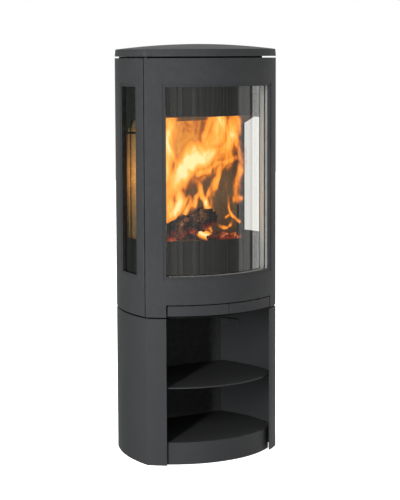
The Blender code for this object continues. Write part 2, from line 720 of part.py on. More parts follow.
def air_control():
    """The left strip under the door, its rod, and the plate it draws over the inlet slots."""
    outer_end, inner_end = split_angles(-STRIP_SPLIT)
    strip = front_arc(0.0, -STRIP_ANGLE, outer_end, STRIP_STEPS)
    strip += front_arc(STRIP_THICK, inner_end, -STRIP_ANGLE, STRIP_STEPS)
    slab("air_strip", [strip], STRIP_BOTTOM, STRIP_TOP, PAINT)
    level = BODY_BOTTOM + SHEET + GAP
    seat = [rectangle(AIR_X - 0.045, AIR_Y - 0.040, AIR_X + 0.045, AIR_Y + 0.040)]
    plate = [rectangle(AIR_X - 0.043, AIR_Y - 0.045, AIR_X + 0.043, AIR_Y + 0.040)]
    for i in (-1, 0):
        y = AIR_Y + 0.034 * i
        seat.append(rectangle(AIR_X - 0.034, y, AIR_X + 0.034, y + 0.012))
        shift = y + AIR_TRAVEL
        plate.append(rectangle(AIR_X - 0.034, shift, AIR_X + 0.034, shift + 0.012))
    slab("air_seat", seat, level, level + 0.0025, DARK_STEEL)
    tab_low = (AIR_X - 0.010, AIR_Y - 0.045, level + 0.0030)
    tab = box("air_tab", tab_low, (AIR_X + 0.010, AIR_Y - 0.042, level + 0.0200), None)
    slide = slab("air_plate", plate, level + 0.0028, level + 0.0050, BARE_STEEL)
    join(slide, tab)
    rod_height = level + 0.0140
    behind = front_point(STRIP_THICK, math.asin((AIR_X + 0.004) / FRONT_RADIUS)).y
    rod = (AIR_X, behind + 0.0026, rod_height), (AIR_X, AIR_Y - 0.045 - GAP, rod_height)
    cylinder("air_rod", 0.0030, *rod, BARE_STEEL, 16)


# ---- Door --------------------------------------------------------------------------------
def knuckle_outline():
    """The door frame's plan: bowed outside, wrapped round the hinge pin's line at both ends."""
    steps = 8
    wrap = []
    for i in range(1, steps + 1):
        turn = Matrix.Rotation(math.pi / 2 * i / steps, 2)
        wrap.append(RIGHT_EDGE + turn @ EDGE_OUT * KNUCKLE)
    end = RIGHT_EDGE + EDGE_BACK * KNUCKLE - EDGE_OUT * (FRAME_DEPTH - KNUCKLE)
    right = wrap + [end]
    outer = front_arc(0.0, -EDGE_ANGLE, EDGE_ANGLE)
    inner = front_arc(FRAME_DEPTH, EDGE_ANGLE, -EDGE_ANGLE)
    return outer + right + inner + mirrored(right)


def door_frame():
    frame = slab("door_frame", [knuckle_outline()], BODY_BOTTOM, BODY_TOP, PAINT)
    rebate = 0.012
    rebate_angle = OPENING_ANGLE + rebate / FRONT_RADIUS
    pocket = OPENING_ANGLE * 0.80
    low_pin = (*HINGE, BODY_BOTTOM - 0.01), (*HINGE, BODY_BOTTOM + 0.028)
    high_pin = (*HINGE, BODY_TOP - 0.028), (*HINGE, BODY_TOP + 0.01)
    shaft = (*SHAFT, NOTCH_TOP - 0.01), (*SHAFT, NOTCH_TOP + 0.040)
    cut(
        frame,
        front_wedge("door_window", OPENING_ANGLE, WINDOW_BOTTOM, WINDOW_TOP),
        front_wedge("door_rebate", rebate_angle, WINDOW_BOTTOM - rebate, WINDOW_TOP + rebate, JAMB),
        front_wedge("door_notch", OPENING_ANGLE, BODY_BOTTOM - 0.01, NOTCH_TOP),
        front_wedge("door_low_pocket", pocket, NOTCH_TOP + 0.016, WINDOW_BOTTOM - 0.018, 0.005),
        front_wedge("door_high_pocket", pocket, WINDOW_TOP + 0.018, BODY_TOP - 0.012, 0.005),
        cylinder("low_bore", PIN_BORE, *low_pin, None),
        cylinder("high_bore", PIN_BORE, *high_pin, None),
        cylinder("shaft_bore", SHAFT_RADIUS + 0.0004, *shaft, None),
    )
    return frame


def door_glazing():
    """The glass, the rope that seals it to the frame and the liner that clamps it."""
    rope_angle = OPENING_ANGLE + 0.010 / FRONT_RADIUS
    rope = front_band(JAMB + GAP, 0.0179, -rope_angle, rope_angle)
    seal = slab("glass_rope", [rope], WINDOW_BOTTOM - 0.010, WINDOW_TOP + 0.010, ROPE)
    ease = 0.0005
    inner_angle = OPENING_ANGLE + ease / FRONT_RADIUS
    hole = front_wedge("rope_hole", inner_angle, WINDOW_BOTTOM - ease, WINDOW_TOP + ease)
    glass = front_band(0.0182, 0.0222, -rope_angle, rope_angle)
    pane = slab("door_glass", [glass], WINDOW_BOTTOM - 0.010, WINDOW_TOP + 0.010, GLASS)
    liner_angle = EDGE_ANGLE - 0.002 / FRONT_RADIUS
    liner = front_band(FRAME_DEPTH + GAP, LINER_DEPTH, -liner_angle, liner_angle)
    backing = slab("door_liner", [liner], NOTCH_TOP + 0.007, BODY_TOP - 0.009, BARE_STEEL)
    sight = front_wedge("liner_hole", OPENING_ANGLE, WINDOW_BOTTOM - 0.001, WINDOW_TOP + 0.001)
    pad = front_band(LINER_DEPTH + GAP, SEAL_DEPTH, -liner_angle + 0.012, liner_angle - 0.012)
    seal_ring = slab("door_rope", [pad], NOTCH_TOP + 0.015, BODY_TOP - 0.014, ROPE)
    inside = front_wedge("pad_hole", liner_angle - 0.044, NOTCH_TOP + 0.026, BODY_TOP - 0.025)
    return [cut(seal, hole), pane, cut(backing, sight), cut(seal_ring, inside)]


def handle():
    """The right strip under the door, its shaft and the latch arm behind it."""
    outer_start, inner_start = split_angles(STRIP_SPLIT)
    strip = front_arc(0.0, outer_start, STRIP_ANGLE, STRIP_STEPS)
    strip += front_arc(STRIP_THICK, STRIP_ANGLE, inner_start, STRIP_STEPS)
    grip = slab("handle_strip", [strip], STRIP_BOTTOM, STRIP_TOP, PAINT)
    inward = (FRONT_CENTRE - SHAFT).normalized()
    across = Vector((-inward.y, inward.x)) * 0.0080
    start = SHAFT - inward * (SHAFT_INSET - STRIP_THICK - 0.0005)
    end = SHAFT + inward * 0.0365
    bar = [[start - across, end - across, end + across, start + across]]
    bar.append(circle(SHAFT, SHAFT_RADIUS + GAP, 24))
    arm = slab("latch_arm", bar, STRIP_BOTTOM + 0.0072, STRIP_BOTTOM + 0.0212, BARE_STEEL)
    axle = (*SHAFT, STRIP_BOTTOM + 0.0042), (*SHAFT, NOTCH_TOP + 0.036)
    shaft = cylinder("latch_shaft", SHAFT_RADIUS, *axle, BARE_STEEL)
    block_start = SHAFT + inward * 0.0385
    block_end = SHAFT + inward * 0.0480
    block = [
        block_start - across,
        block_end - across,
        block_end + across,
        block_start + across,
    ]
    slab("striker", [block], BODY_BOTTOM + SHEET + GAP, STRIP_TOP - 0.006, BARE_STEEL)
    return [grip, arm, shaft]


def hang(pieces, axis_name, place, parent=None):
    """Parents pieces to an empty on their joint's axis without moving them."""
    empty = bpy.data.objects.new(axis_name, None)
    STOVE.objects.link(empty)
    empty.location = place
    bpy.context.view_layer.update()
    if parent:
        empty.parent = parent
        empty.matrix_parent_inverse = parent.matrix_world.inverted()
        bpy.context.view_layer.update()
    for piece in pieces:
        piece.parent = empty
        piece.matrix_parent_inverse = empty.matrix_world.inverted()
    return empty


def shade_round(piece):
    if piece.type == "MESH" and piece.data.polygons:
        piece.data.shade_smooth()
        piece.data.set_sharp_from_angle(angle=math.radians(30))


pedestal()
body_shell()
firebox()
logs()
air_control()
door = hang([door_frame(), *door_glazing()], "door_axis", (*HINGE, BODY_BOTTOM))
hang(handle(), "handle_axis", (*SHAFT, STRIP_BOTTOM), door)
for piece in STOVE.objects:
    shade_round(piece)
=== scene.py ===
"""The looks of a wood burning stove on an open pedestal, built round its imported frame."""
import math

import bmesh
import bpy
from mathutils import Matrix, Vector, noise


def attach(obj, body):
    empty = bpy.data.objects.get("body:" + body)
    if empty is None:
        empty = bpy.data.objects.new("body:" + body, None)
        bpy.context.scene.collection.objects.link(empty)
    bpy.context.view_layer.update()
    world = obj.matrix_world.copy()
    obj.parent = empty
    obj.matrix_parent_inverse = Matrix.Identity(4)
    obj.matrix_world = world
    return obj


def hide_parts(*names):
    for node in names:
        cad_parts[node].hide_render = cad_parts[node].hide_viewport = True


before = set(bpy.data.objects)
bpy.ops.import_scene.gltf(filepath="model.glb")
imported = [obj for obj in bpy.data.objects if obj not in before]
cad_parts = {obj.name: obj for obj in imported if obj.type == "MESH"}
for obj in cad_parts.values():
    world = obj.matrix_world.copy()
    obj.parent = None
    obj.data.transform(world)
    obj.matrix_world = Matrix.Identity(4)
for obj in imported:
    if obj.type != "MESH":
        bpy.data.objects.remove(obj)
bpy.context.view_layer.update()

# ---- Sizes of the stove, in metres ---------------------------------------------------------
# An inset or a depth is measured inwards from the outer face, square to it.
# The plan: a bowed front between two creases, and slightly bowed sides behind them.
HALF_WIDTH = 0.2227
FRONT_BULGE = 0.0915
SIDE_DEPTH = 0.2542
BACK_HALF = 0.1822
SIDE_BULGE = 0.0190
COLLAR_OUT = 0.0400
OPENING_HALF = 0.1780
# Heights from the floor, and the top plate's edge and dome.
PEDESTAL_TOP = 0.4290
BODY_BOTTOM = 0.4335
BODY_TOP = 1.1715
PLATE_BOTTOM = 1.1762
PLATE_EDGE = 0.0210
DOME = 0.0150
WINDOW_BOTTOM = 0.5500
WINDOW_TOP = 1.0905
FIRE_BOTTOM = 0.6480
FIRE_TOP = 1.0050
HEARTH_TOP = 0.6200
SHELF_TOP = 0.2270
FLOOR_TOP = 0.0653
FLUE_HEIGHT = 1.0650
FLUE_RADIUS = 0.0745
# Sheets, gaps and the door's layers.
SHEET = 0.0040
GAP = 0.0003
BASE_LIFT = 0.0010
RETURN = 0.0160
KNUCKLE = 0.0060
DOOR_GAP = 0.0015
JAMB = 0.0090
FRAME_DEPTH = 0.0226
LINER_DEPTH = 0.0340
FRONT_PLATE = 0.0405
FRONT_PLATE_BACK = 0.0445
# The strips below the door, and the pins and the shaft inside it.
STRIP_THICK = 0.0060
STRIP_BOTTOM = 0.4368
STRIP_TOP = 0.4660
NOTCH_TOP = 0.4690
STRIP_HALF = 0.1745
STRIP_SPLIT = 0.0009
PIN_BORE = 0.00307
SHAFT_RADIUS = 0.0035
SHAFT_INSET = 0.0105
# The side windows, the recessed compartments and the stepped edges of the windows.
SIDE_WINDOW_FRONT = 0.0510
SIDE_WINDOW_BACK = 0.1560
RECESS = 0.0141
INNER_SIDE = SHEET + 0.0005
INNER_BACK = 2 * SHEET + 0.0015
STEP_WIDTH = 0.0080
STEP_DEPTH = 0.0016
# Glass, bores, pockets and seals in the door.
REBATE = 0.0120
PANE_FRONT = 0.0182
PANE_BACK = 0.0222
PANE_LAP = 0.0100
SIDE_PANE_FRONT = 0.0100
SIDE_PANE_BACK = 0.0138
SIDE_PANE_LAP = 0.0080
PIN_DEPTH = 0.0280
SHAFT_DEPTH = 0.0400
SHAFT_CLEAR = 0.0004
POCKET_BOTTOM = 0.4850
POCKET_EDGE = 0.0180
POCKET_INSET = 0.0050
LINER_BOTTOM = 0.4760
ROPE_LAP = 0.0046
# The flue collar and the screws of the back.
COVER_BACK = 0.2030
COLLAR_SCREW_FACE = 0.2069
FLANGE_WIDTH = 0.0140
SCREW_RADIUS = 0.0045
SCREW_ACROSS = 0.1720
LOW_SCREW_HEIGHTS = 0.030, 0.150, 0.280, 0.400
HIGH_SCREW_HEIGHTS = 0.4700, 0.6450, 0.8200, 0.9600, 1.1400
# The firebox face: half width, bottom and top of the ash opening, and the fire opening's spread.
ASH_OPENING = 0.121, 0.480, 0.542
FIRE_SPREAD = 1.13
# How far a cutter runs past a face, and the steps of the bowed faces.
CUT_PAST = 0.0100
ARC_STEPS = 96
SIDE_STEPS = 32

CREASE_Y = (FRONT_BULGE - SIDE_DEPTH - COLLAR_OUT) / 2
BACK_Y = CREASE_Y + SIDE_DEPTH
FRONT_RADIUS = (HALF_WIDTH**2 + FRONT_BULGE**2) / (2 * FRONT_BULGE)
FRONT_CENTRE = Vector((0.0, CREASE_Y + FRONT_RADIUS - FRONT_BULGE))
CHORD = Vector((BACK_HALF - HALF_WIDTH, SIDE_DEPTH))
SIDE_RADIUS = (CHORD.length_squared / 4 + SIDE_BULGE**2) / (2 * SIDE_BULGE)
SIDE_CENTRE = (
    Vector((HALF_WIDTH, CREASE_Y))
    + CHORD / 2
    - Vector((CHORD.y, -CHORD.x)).normalized() * (SIDE_RADIUS - SIDE_BULGE)
)
OPENING_ANGLE = math.asin(OPENING_HALF / FRONT_RADIUS)


# ---- Plan geometry: a bowed front meeting two bowed sides ----------------------------------
def front_point(inset, angle):
    return FRONT_CENTRE + (FRONT_RADIUS - inset) * Vector((math.sin(angle), -math.cos(angle)))


def front_arc(inset, start, end, steps=ARC_STEPS):
    return [front_point(inset, start + (end - start) * i / steps) for i in range(steps + 1)]


def side_point(inset, y):
    reach = SIDE_RADIUS - inset
    return Vector((SIDE_CENTRE.x + math.sqrt(reach**2 - (y - SIDE_CENTRE.y) ** 2), y))


def side_arc(inset, start, end):
    return [side_point(inset, start + (end - start) * i / SIDE_STEPS) for i in range(SIDE_STEPS + 1)]


def corner(front_inset, side_inset):
    """Where the inset front meets the inset right side."""
    across = SIDE_CENTRE - FRONT_CENTRE
    front_reach = FRONT_RADIUS - front_inset
    side_reach = SIDE_RADIUS - side_inset
    along = (front_reach**2 - side_reach**2 + across.length_squared) / (2 * across.length)
    off = math.sqrt(front_reach**2 - along**2)
    direction = across.normalized()
    return FRONT_CENTRE + direction * along + Vector((-direction.y, direction.x)) * off


def front_angle(point):
    return math.atan2(point.x - FRONT_CENTRE.x, FRONT_CENTRE.y - point.y)


def line_to_side(start, direction, inset):
    away = start - SIDE_CENTRE
    along = away.dot(direction)
    reach = (SIDE_RADIUS - inset) ** 2
    return start + direction * (-along + math.sqrt(along**2 - away.length_squared + reach))


def mirrored(points):
    return [Vector((-point.x, point.y)) for point in reversed(points)]


def plan_outline(front_inset, side_inset, back_y):
    meet = corner(front_inset, side_inset)
    angle = front_angle(meet)
    right = side_arc(side_inset, meet.y, back_y)[1:]
    return front_arc(front_inset, -angle, angle) + right + mirrored(right)


def front_band(outer, inner, start, end, steps=ARC_STEPS):
    return front_arc(outer, start, end, steps) + front_arc(inner, end, start, steps)


def side_band(outer, inner, start, end):
    return side_arc(outer, start, end) + side_arc(inner, end, start)


RIGHT_EDGE = corner(KNUCKLE, KNUCKLE)
EDGE_OUT = (RIGHT_EDGE - FRONT_CENTRE).normalized()
EDGE_BACK = Vector((-EDGE_OUT.y, EDGE_OUT.x))
EDGE_ANGLE = front_angle(RIGHT_EDGE)
HINGE = Vector((-RIGHT_EDGE.x, RIGHT_EDGE.y))
STRIP_ANGLE = math.asin(STRIP_HALF / FRONT_RADIUS)
SHAFT_ANGLE = STRIP_ANGLE - 0.030 / (FRONT_RADIUS - SHAFT_INSET)
SHAFT = front_point(SHAFT_INSET, SHAFT_ANGLE)


# ---- Making and finishing pieces -----------------------------------------------------------
def link(name, data):
    made = bpy.data.objects.new(name, data)
    bpy.context.scene.collection.objects.link(made)
    return made


def evaluated_mesh(piece):
    bpy.context.view_layer.update()
    return bpy.data.meshes.new_from_object(
        piece.evaluated_get(bpy.context.evaluated_depsgraph_get())
    )


def slab(name, outlines, low, high):
    """A flat piece between two heights: the first outline is its rim and the rest its holes."""
    curve = bpy.data.curves.new(name, "CURVE")
    curve.dimensions = "2D"
    curve.fill_mode = "BOTH"
    curve.extrude = (high - low) / 2
    for outline in outlines:
        spline = curve.splines.new("POLY")
        spline.points.add(len(outline) - 1)
        spline.use_cyclic_u = True
        for point, place in zip(spline.points, outline):
            point.co = (place.x, place.y, 0.0, 1.0)
    drawn = link(name + "_drawn", curve)
    mesh = evaluated_mesh(drawn)
    bpy.data.objects.remove(drawn)
    bpy.data.curves.remove(curve)
    solid = bmesh.new()
    solid.from_mesh(mesh)
    bmesh.ops.remove_doubles(solid, verts=solid.verts, dist=1e-6)
    bmesh.ops.recalc_face_normals(solid, faces=solid.faces)
    bmesh.ops.translate(solid, verts=solid.verts, vec=(0.0, 0.0, (low + high) / 2))
    flat = math.radians(0.5)
    ends = [e for e in solid.edges if len(e.link_faces) == 2 and e.calc_face_angle() < flat]
    bmesh.ops.dissolve_edges(solid, edges=ends, use_verts=False)
    solid.to_mesh(mesh)
    solid.free()
    mesh.materials.clear()
    return link(name, mesh)


def cylinder(name, radius, start, end):
    start = Vector(start)
    end = Vector(end)
    solid = bmesh.new()
    bmesh.ops.create_cone(
        solid, cap_ends=True, segments=48, radius1=radius, radius2=radius,
        depth=(end - start).length,
    )
    turn = (end - start).to_track_quat("Z", "Y").to_matrix().to_4x4()
    solid.transform(Matrix.Translation((start + end) / 2) @ turn)
    mesh = bpy.data.meshes.new(name)
    solid.to_mesh(mesh)
    solid.free()
    return link(name, mesh)


def box(name, low, high):
    low = Vector(low)
    high = Vector(high)
    solid = bmesh.new()
    bmesh.ops.create_cube(solid, size=1.0)
    solid.transform(Matrix.Translation((low + high) / 2) @ Matrix.Diagonal((*(high - low), 1.0)))
    mesh = bpy.data.meshes.new(name)
    solid.to_mesh(mesh)
    solid.free()
    return link(name, mesh)


def front_wedge(name, angle, low, high, outer=-0.05, inner=0.10):
    """A cutter through the bowed front; a negative inset lies outside its face."""
    return slab(name, [front_band(outer, inner, -angle, angle, 48)], low, high)


def side_wedge(name, front, back, low, high, inner=0.05):
    """A cutter through the right side, square to it, between two distances and two heights."""
    steps = 12
    outer = -0.05
    rims = ([], [])
    for i in range(steps + 1):
        y = CREASE_Y + front + (back - front) * i / steps
        out = (side_point(0.0, y) - SIDE_CENTRE).normalized()
        for rim, inset in zip(rims, (outer, inner)):
            rim.append(SIDE_CENTRE + out * (SIDE_RADIUS - inset))
    return slab(name, [rims[0] + rims[1][::-1]], low, high)


def cut(piece, *cutters):
    for cutter in cutters:
        boolean = piece.modifiers.new("cut", "BOOLEAN")
        boolean.operation = "DIFFERENCE"
        boolean.solver = "EXACT"
        boolean.object = cutter
    settle(piece)
    for cutter in cutters:
        bpy.data.objects.remove(cutter)
    return piece


def settle(piece):
    """Applies the modifiers, so that the piece is a plain mesh."""
    mesh = evaluated_mesh(piece)
    piece.modifiers.clear()
    old = piece.data
    piece.data = mesh
    mesh.name = piece.name
    if old.users == 0:
        bpy.data.meshes.remove(old)
    return piece


def round_edges(piece, width, segments=2):
    bevel = piece.modifiers.new("rounded edges", "BEVEL")
    bevel.width = width
    bevel.segments = segments
    bevel.limit_method = "ANGLE"
    bevel.angle_limit = math.radians(32)
    return settle(piece)


def mirror_piece(piece, name):
    mesh = piece.data.copy()
    mesh.transform(Matrix.Diagonal((-1.0, 1.0, 1.0, 1.0)))
    mesh.flip_normals()
    return link(name, mesh)


def dress(piece, body, material, slot, *stands_for, smooth=35):
    """Gives a finished piece its material and the body it moves with."""
    piece.data.materials.clear()
    piece.data.materials.append(material)
    piece.data.shade_smooth()
    piece.data.set_sharp_from_angle(angle=math.radians(smooth))
    if 10 < smooth < 60:  # coals, ropes, logs and flames keep their own normals
        weigh = piece.modifiers.new("flat faces stay flat", "WEIGHTED_NORMAL")
        weigh.mode = "FACE_AREA"
        weigh.weight = 100
        weigh.keep_sharp = True
        settle(piece)
    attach(piece, body)
    if stands_for:
        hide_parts(*stands_for)
    return piece


def dress_pair(right, body, material, slot, *stands_for):
    """Finishes a piece named ..._right and its left copy."""
    left = mirror_piece(right, right.name.replace("right", "left"))
    dress(right, body, material, slot, *[name + "_right" for name in stands_for])
    dress(left, body, material, slot, *[name + "_left" for name in stands_for])
    return right, left


# ---- Shader node groups --------------------------------------------------------------------
def wire(tree, source, target):
    tree.links.new(source, target)


def add_node(tree, kind, **settings):
    made = tree.nodes.new(kind)
    for key, value in settings.items():
        setattr(made, key, value)
    return made


def noise_node(tree, vector, scale, detail, roughness=0.55):
    made = add_node(tree, "ShaderNodeTexNoise")
    made.inputs["Scale"].default_value = scale
    made.inputs["Detail"].default_value = detail
    made.inputs["Roughness"].default_value = roughness
    wire(tree, vector, made.inputs["Vector"])
    return made


def math_node(tree, operation, first, second=0.5, clamp=False):
    made = add_node(tree, "ShaderNodeMath", operation=operation, use_clamp=clamp)
    for socket, value in zip(made.inputs, (first, second)):
        if isinstance(value, (int, float)):
            socket.default_value = value
        else:
            wire(tree, value, socket)
    return made.outputs[0]


def remap(tree, value, low, high, to_low=0.0, to_high=1.0):
    made = add_node(tree, "ShaderNodeMapRange", interpolation_type="SMOOTHSTEP")
    wire(tree, value, made.inputs["Value"])
    ends = (("From Min", low), ("From Max", high), ("To Min", to_low), ("To Max", to_high))
    for name, end in ends:
        if isinstance(end, (int, float)):
            made.inputs[name].default_value = end
        else:
            wire(tree, end, made.inputs[name])
    return made.outputs["Result"]


def blend_colours(tree, share, first, second, mode="MIX"):
    made = add_node(tree, "ShaderNodeMix", data_type="RGBA", blend_type=mode)
    given = (made.inputs[0], share), (made.inputs[6], first), (made.inputs[7], second)
    for socket, value in given:
        if isinstance(value, (int, float)):
            socket.default_value = value
        elif isinstance(value, tuple):
            socket.default_value = (*value, 1.0)
        else:
            wire(tree, value, socket)
    return made.outputs[2]


def new_group(name, inputs, outputs):
    """A node group with its named inputs and outputs; each input is (name, kind, value)."""
    tree = bpy.data.node_groups.new(name, "ShaderNodeTree")
    for label, kind, value in inputs:
        socket = tree.interface.new_socket(label, in_out="INPUT", socket_type="NodeSocket" + kind)
        if value is not None:
            socket.default_value = value
    for label, kind in outputs:
        tree.interface.new_socket(label, in_out="OUTPUT", socket_type="NodeSocket" + kind)
    return tree, tree.nodes.new("NodeGroupInput"), tree.nodes.new("NodeGroupOutput")


def coat_grain_group():
    """The fine tooth and slow drift of a sprayed or cast skin."""
    tree, given, result = new_group(
        "coat_grain",
        [("Vector", "Vector", None), ("Tooth Scale", "Float", 900.0), ("Drift Scale", "Float", 9.0),
         ("Drift", "Float", 0.5)],
        [("Height", "Float"), ("Tone", "Float")],
    )
    tooth = noise_node(tree, given.outputs["Vector"], 900.0, 2.0, 0.6)
    wire(tree, given.outputs["Tooth Scale"], tooth.inputs["Scale"])
    pebbles = add_node(tree, "ShaderNodeTexVoronoi")
    wire(tree, given.outputs["Vector"], pebbles.inputs["Vector"])
    wire(tree, math_node(tree, "MULTIPLY", given.outputs["Tooth Scale"], 0.7), pebbles.inputs["Scale"])
    drift = noise_node(tree, given.outputs["Vector"], 9.0, 3.0, 0.5)
    wire(tree, given.outputs["Drift Scale"], drift.inputs["Scale"])
    rise = math_node(tree, "MULTIPLY", pebbles.outputs["Distance"], 0.5)
    height = math_node(tree, "ADD", tooth.outputs["Fac"], rise)
    wire(tree, height, result.inputs["Height"])
    spread = math_node(tree, "SUBTRACT", drift.outputs["Fac"], 0.5)
    speck = math_node(tree, "MULTIPLY", math_node(tree, "SUBTRACT", tooth.outputs["Fac"], 0.5), 0.35)
    tone = math_node(tree, "ADD", math_node(tree, "MULTIPLY", spread, given.outputs["Drift"]), speck)
    wire(tree, math_node(tree, "ADD", tone, 0.5, True), result.inputs["Tone"])
    return tree


def rubbed_edges_group():
    """Where hands and tools touch: outer edges, broken up so that they aren't a drawn line."""
    tree, given, result = new_group(
        "rubbed_edges",
        [("Vector", "Vector", None), ("Strength", "Float", 0.5)],
        [("Mask", "Float")],
    )
    shape = add_node(tree, "ShaderNodeNewGeometry")
    edge = remap(tree, shape.outputs["Pointiness"], 0.51, 0.60)
    patches = noise_node(tree, given.outputs["Vector"], 60.0, 5.0, 0.65)
    broken = remap(tree, patches.outputs["Fac"], 0.35, 0.70)
    both = math_node(tree, "MULTIPLY", edge, broken)
    wire(tree, math_node(tree, "MULTIPLY", both, given.outputs["Strength"], True), result.inputs["Mask"])
    return tree


def soot_group():
    """Soot that grows with height, from clean at one height to sooty at the other, with a ragged edge."""
    tree, given, result = new_group(
        "soot",
        [("Vector", "Vector", None), ("Clean Height", "Float", 0.8), ("Sooty Height", "Float", 1.0)],
        [("Mask", "Float")],
    )
    parts = add_node(tree, "ShaderNodeSeparateXYZ")
    wire(tree, given.outputs["Vector"], parts.inputs[0])
    cloud = noise_node(tree, given.outputs["Vector"], 14.0, 6.0, 0.6)
    waver = math_node(tree, "MULTIPLY", math_node(tree, "SUBTRACT", cloud.outputs["Fac"], 0.5), 0.16)
    height = math_node(tree, "ADD", parts.outputs["Z"], waver)
    mask = remap(tree, height, given.outputs["Clean Height"], given.outputs["Sooty Height"])
    wire(tree, mask, result.inputs["Mask"])
    return tree


def drawn_streaks_group():
    """Faint upright streaks, as sheet steel and wiped glass show."""
    tree, given, result = new_group(
        "drawn_streaks",
        [("Vector", "Vector", None), ("Scale", "Float", 60.0)],
        [("Streaks", "Float")],
    )
    squeeze = add_node(tree, "ShaderNodeVectorMath", operation="MULTIPLY")
    squeeze.inputs[1].default_value = (1.0, 1.0, 0.035)
    wire(tree, given.outputs["Vector"], squeeze.inputs[0])
    lines = noise_node(tree, squeeze.outputs[0], 60.0, 4.0, 0.7)
    wire(tree, given.outputs["Scale"], lines.inputs["Scale"])
    wire(tree, remap(tree, lines.outputs["Fac"], 0.30, 0.70), result.inputs["Streaks"])
    return tree


COAT_GRAIN = coat_grain_group()
RUBBED_EDGES = rubbed_edges_group()
SOOT = soot_group()
STREAKS = drawn_streaks_group()


# ---- Materials -----------------------------------------------------------------------------
def new_material(name):
    made = bpy.data.materials.new(name)
    made.use_nodes = True
    tree = made.node_tree
    place = add_node(tree, "ShaderNodeTexCoord")
    return made, tree, tree.nodes["Principled BSDF"], place.outputs["Object"]


def use_group(tree, group, vector, **values):
    made = add_node(tree, "ShaderNodeGroup", node_tree=group)
    wire(tree, vector, made.inputs["Vector"])
    for label, value in values.items():
        made.inputs[label.replace("_", " ")].default_value = value
    return made


def bump(tree, shader, height, strength, distance):
    made = add_node(tree, "ShaderNodeBump")
    made.inputs["Strength"].default_value = strength
    made.inputs["Distance"].default_value = distance
    wire(tree, height, made.inputs["Height"])
    wire(tree, made.outputs[0], shader.inputs["Normal"])


def coated_steel(name, dark, light, rubbed, rough, tooth, relief, drift=0.6, metal=0.0, shine=0.25):
    """Sprayed or oiled steel: a fine tooth, a slow drift of tone and rubbed edges."""
    made, tree, shader, place = new_material(name)
    grain = use_group(tree, COAT_GRAIN, place, Tooth_Scale=tooth, Drift_Scale=7.0, Drift=drift)
    edges = use_group(tree, RUBBED_EDGES, place, Strength=0.55)
    tone = blend_colours(tree, grain.outputs["Tone"], dark, light)
    wire(tree, blend_colours(tree, edges.outputs["Mask"], tone, rubbed), shader.inputs["Base Color"])
    worn = remap(tree, grain.outputs["Tone"], 0.2, 0.8, rough + 0.05, rough - 0.05)
    wire(tree, worn, shader.inputs["Roughness"])
    shader.inputs["Metallic"].default_value = metal
    shader.inputs["Specular IOR Level"].default_value = shine
    bump(tree, shader, grain.outputs["Height"], relief, 0.0002)
    return made


def glass_material(name, tint):
    """Heat-resistant glass: clear, with wiping streaks and a breath of soot near its top."""
    made, tree, shader, place = new_material(name)
    streaks = use_group(tree, STREAKS, place, Scale=70.0)
    soot = use_group(tree, SOOT, place, Clean_Height=0.98, Sooty_Height=1.20)
    haze = math_node(tree, "MULTIPLY", soot.outputs["Mask"], 0.10)
    film = math_node(tree, "ADD", haze, math_node(tree, "MULTIPLY", streaks.outputs["Streaks"], 0.02))
    wire(tree, blend_colours(tree, film, tint, (0.45, 0.42, 0.36)), shader.inputs["Base Color"])
    wire(tree, math_node(tree, "MULTIPLY", film, 0.08), shader.inputs["Roughness"])
    shader.inputs["Transmission Weight"].default_value = 1.0
    shader.inputs["Metallic"].default_value = 0.0
    shader.inputs["IOR"].default_value = 1.52
    ray = add_node(tree, "ShaderNodeLightPath")
    clear = add_node(tree, "ShaderNodeBsdfTransparent")
    clear.inputs["Color"].default_value = (0.86, 0.86, 0.84, 1.0)
    mix = add_node(tree, "ShaderNodeMixShader")
    wire(tree, ray.outputs["Is Shadow Ray"], mix.inputs[0])
    wire(tree, shader.outputs[0], mix.inputs[1])
    wire(tree, clear.outputs[0], mix.inputs[2])
    wire(tree, mix.outputs[0], tree.nodes["Material Output"].inputs["Surface"])
    return made


def brick_material():
    """Pressed vermiculite: flecks, shallow pits and soot above the fire."""
    made, tree, shader, place = new_material("firebrick")
    grain = use_group(tree, COAT_GRAIN, place, Tooth_Scale=420.0, Drift_Scale=16.0, Drift=0.9)
    flakes = add_node(tree, "ShaderNodeTexVoronoi", feature="F1")
    flakes.inputs["Scale"].default_value = 260.0
    wire(tree, place, flakes.inputs["Vector"])
    fleck = remap(tree, flakes.outputs["Color"], 0.55, 0.95)
    body = blend_colours(tree, grain.outputs["Tone"], (0.085, 0.070, 0.038), (0.130, 0.108, 0.060))
    flecked = blend_colours(tree, fleck, body, (0.170, 0.140, 0.085))
    soot = use_group(tree, SOOT, place, Clean_Height=0.90, Sooty_Height=1.06)
    stain = math_node(tree, "MULTIPLY", soot.outputs["Mask"], 0.75)
    wire(tree, blend_colours(tree, stain, flecked, (0.035, 0.030, 0.026)), shader.inputs["Base Color"])
    shader.inputs["Roughness"].default_value = 0.95
    pits = math_node(tree, "ADD", grain.outputs["Height"], flakes.outputs["Distance"])
    bump(tree, shader, pits, 0.5, 0.0008)
    return made


def rope_material(name, dark, light):
    """Woven glass-fibre rope: crossing yarns in a graphite dressing."""
    made, tree, shader, place = new_material(name)
    grain = use_group(tree, COAT_GRAIN, place, Tooth_Scale=1500.0, Drift_Scale=40.0, Drift=0.8)
    weave = add_node(tree, "ShaderNodeTexWave", bands_direction="DIAGONAL")
    weave.inputs["Scale"].default_value = 260.0
    weave.inputs["Distortion"].default_value = 1.5
    wire(tree, place, weave.inputs["Vector"])
    yarn = math_node(tree, "MULTIPLY", weave.outputs["Fac"], 0.6)
    tone = math_node(tree, "ADD", yarn, math_node(tree, "MULTIPLY", grain.outputs["Tone"], 0.4))
    wire(tree, blend_colours(tree, tone, dark, light), shader.inputs["Base Color"])
    shader.inputs["Roughness"].default_value = 0.9
    shader.inputs["Sheen Weight"].default_value = 0.3
    bump(tree, shader, weave.outputs["Fac"], 0.6, 0.0004)
    return made


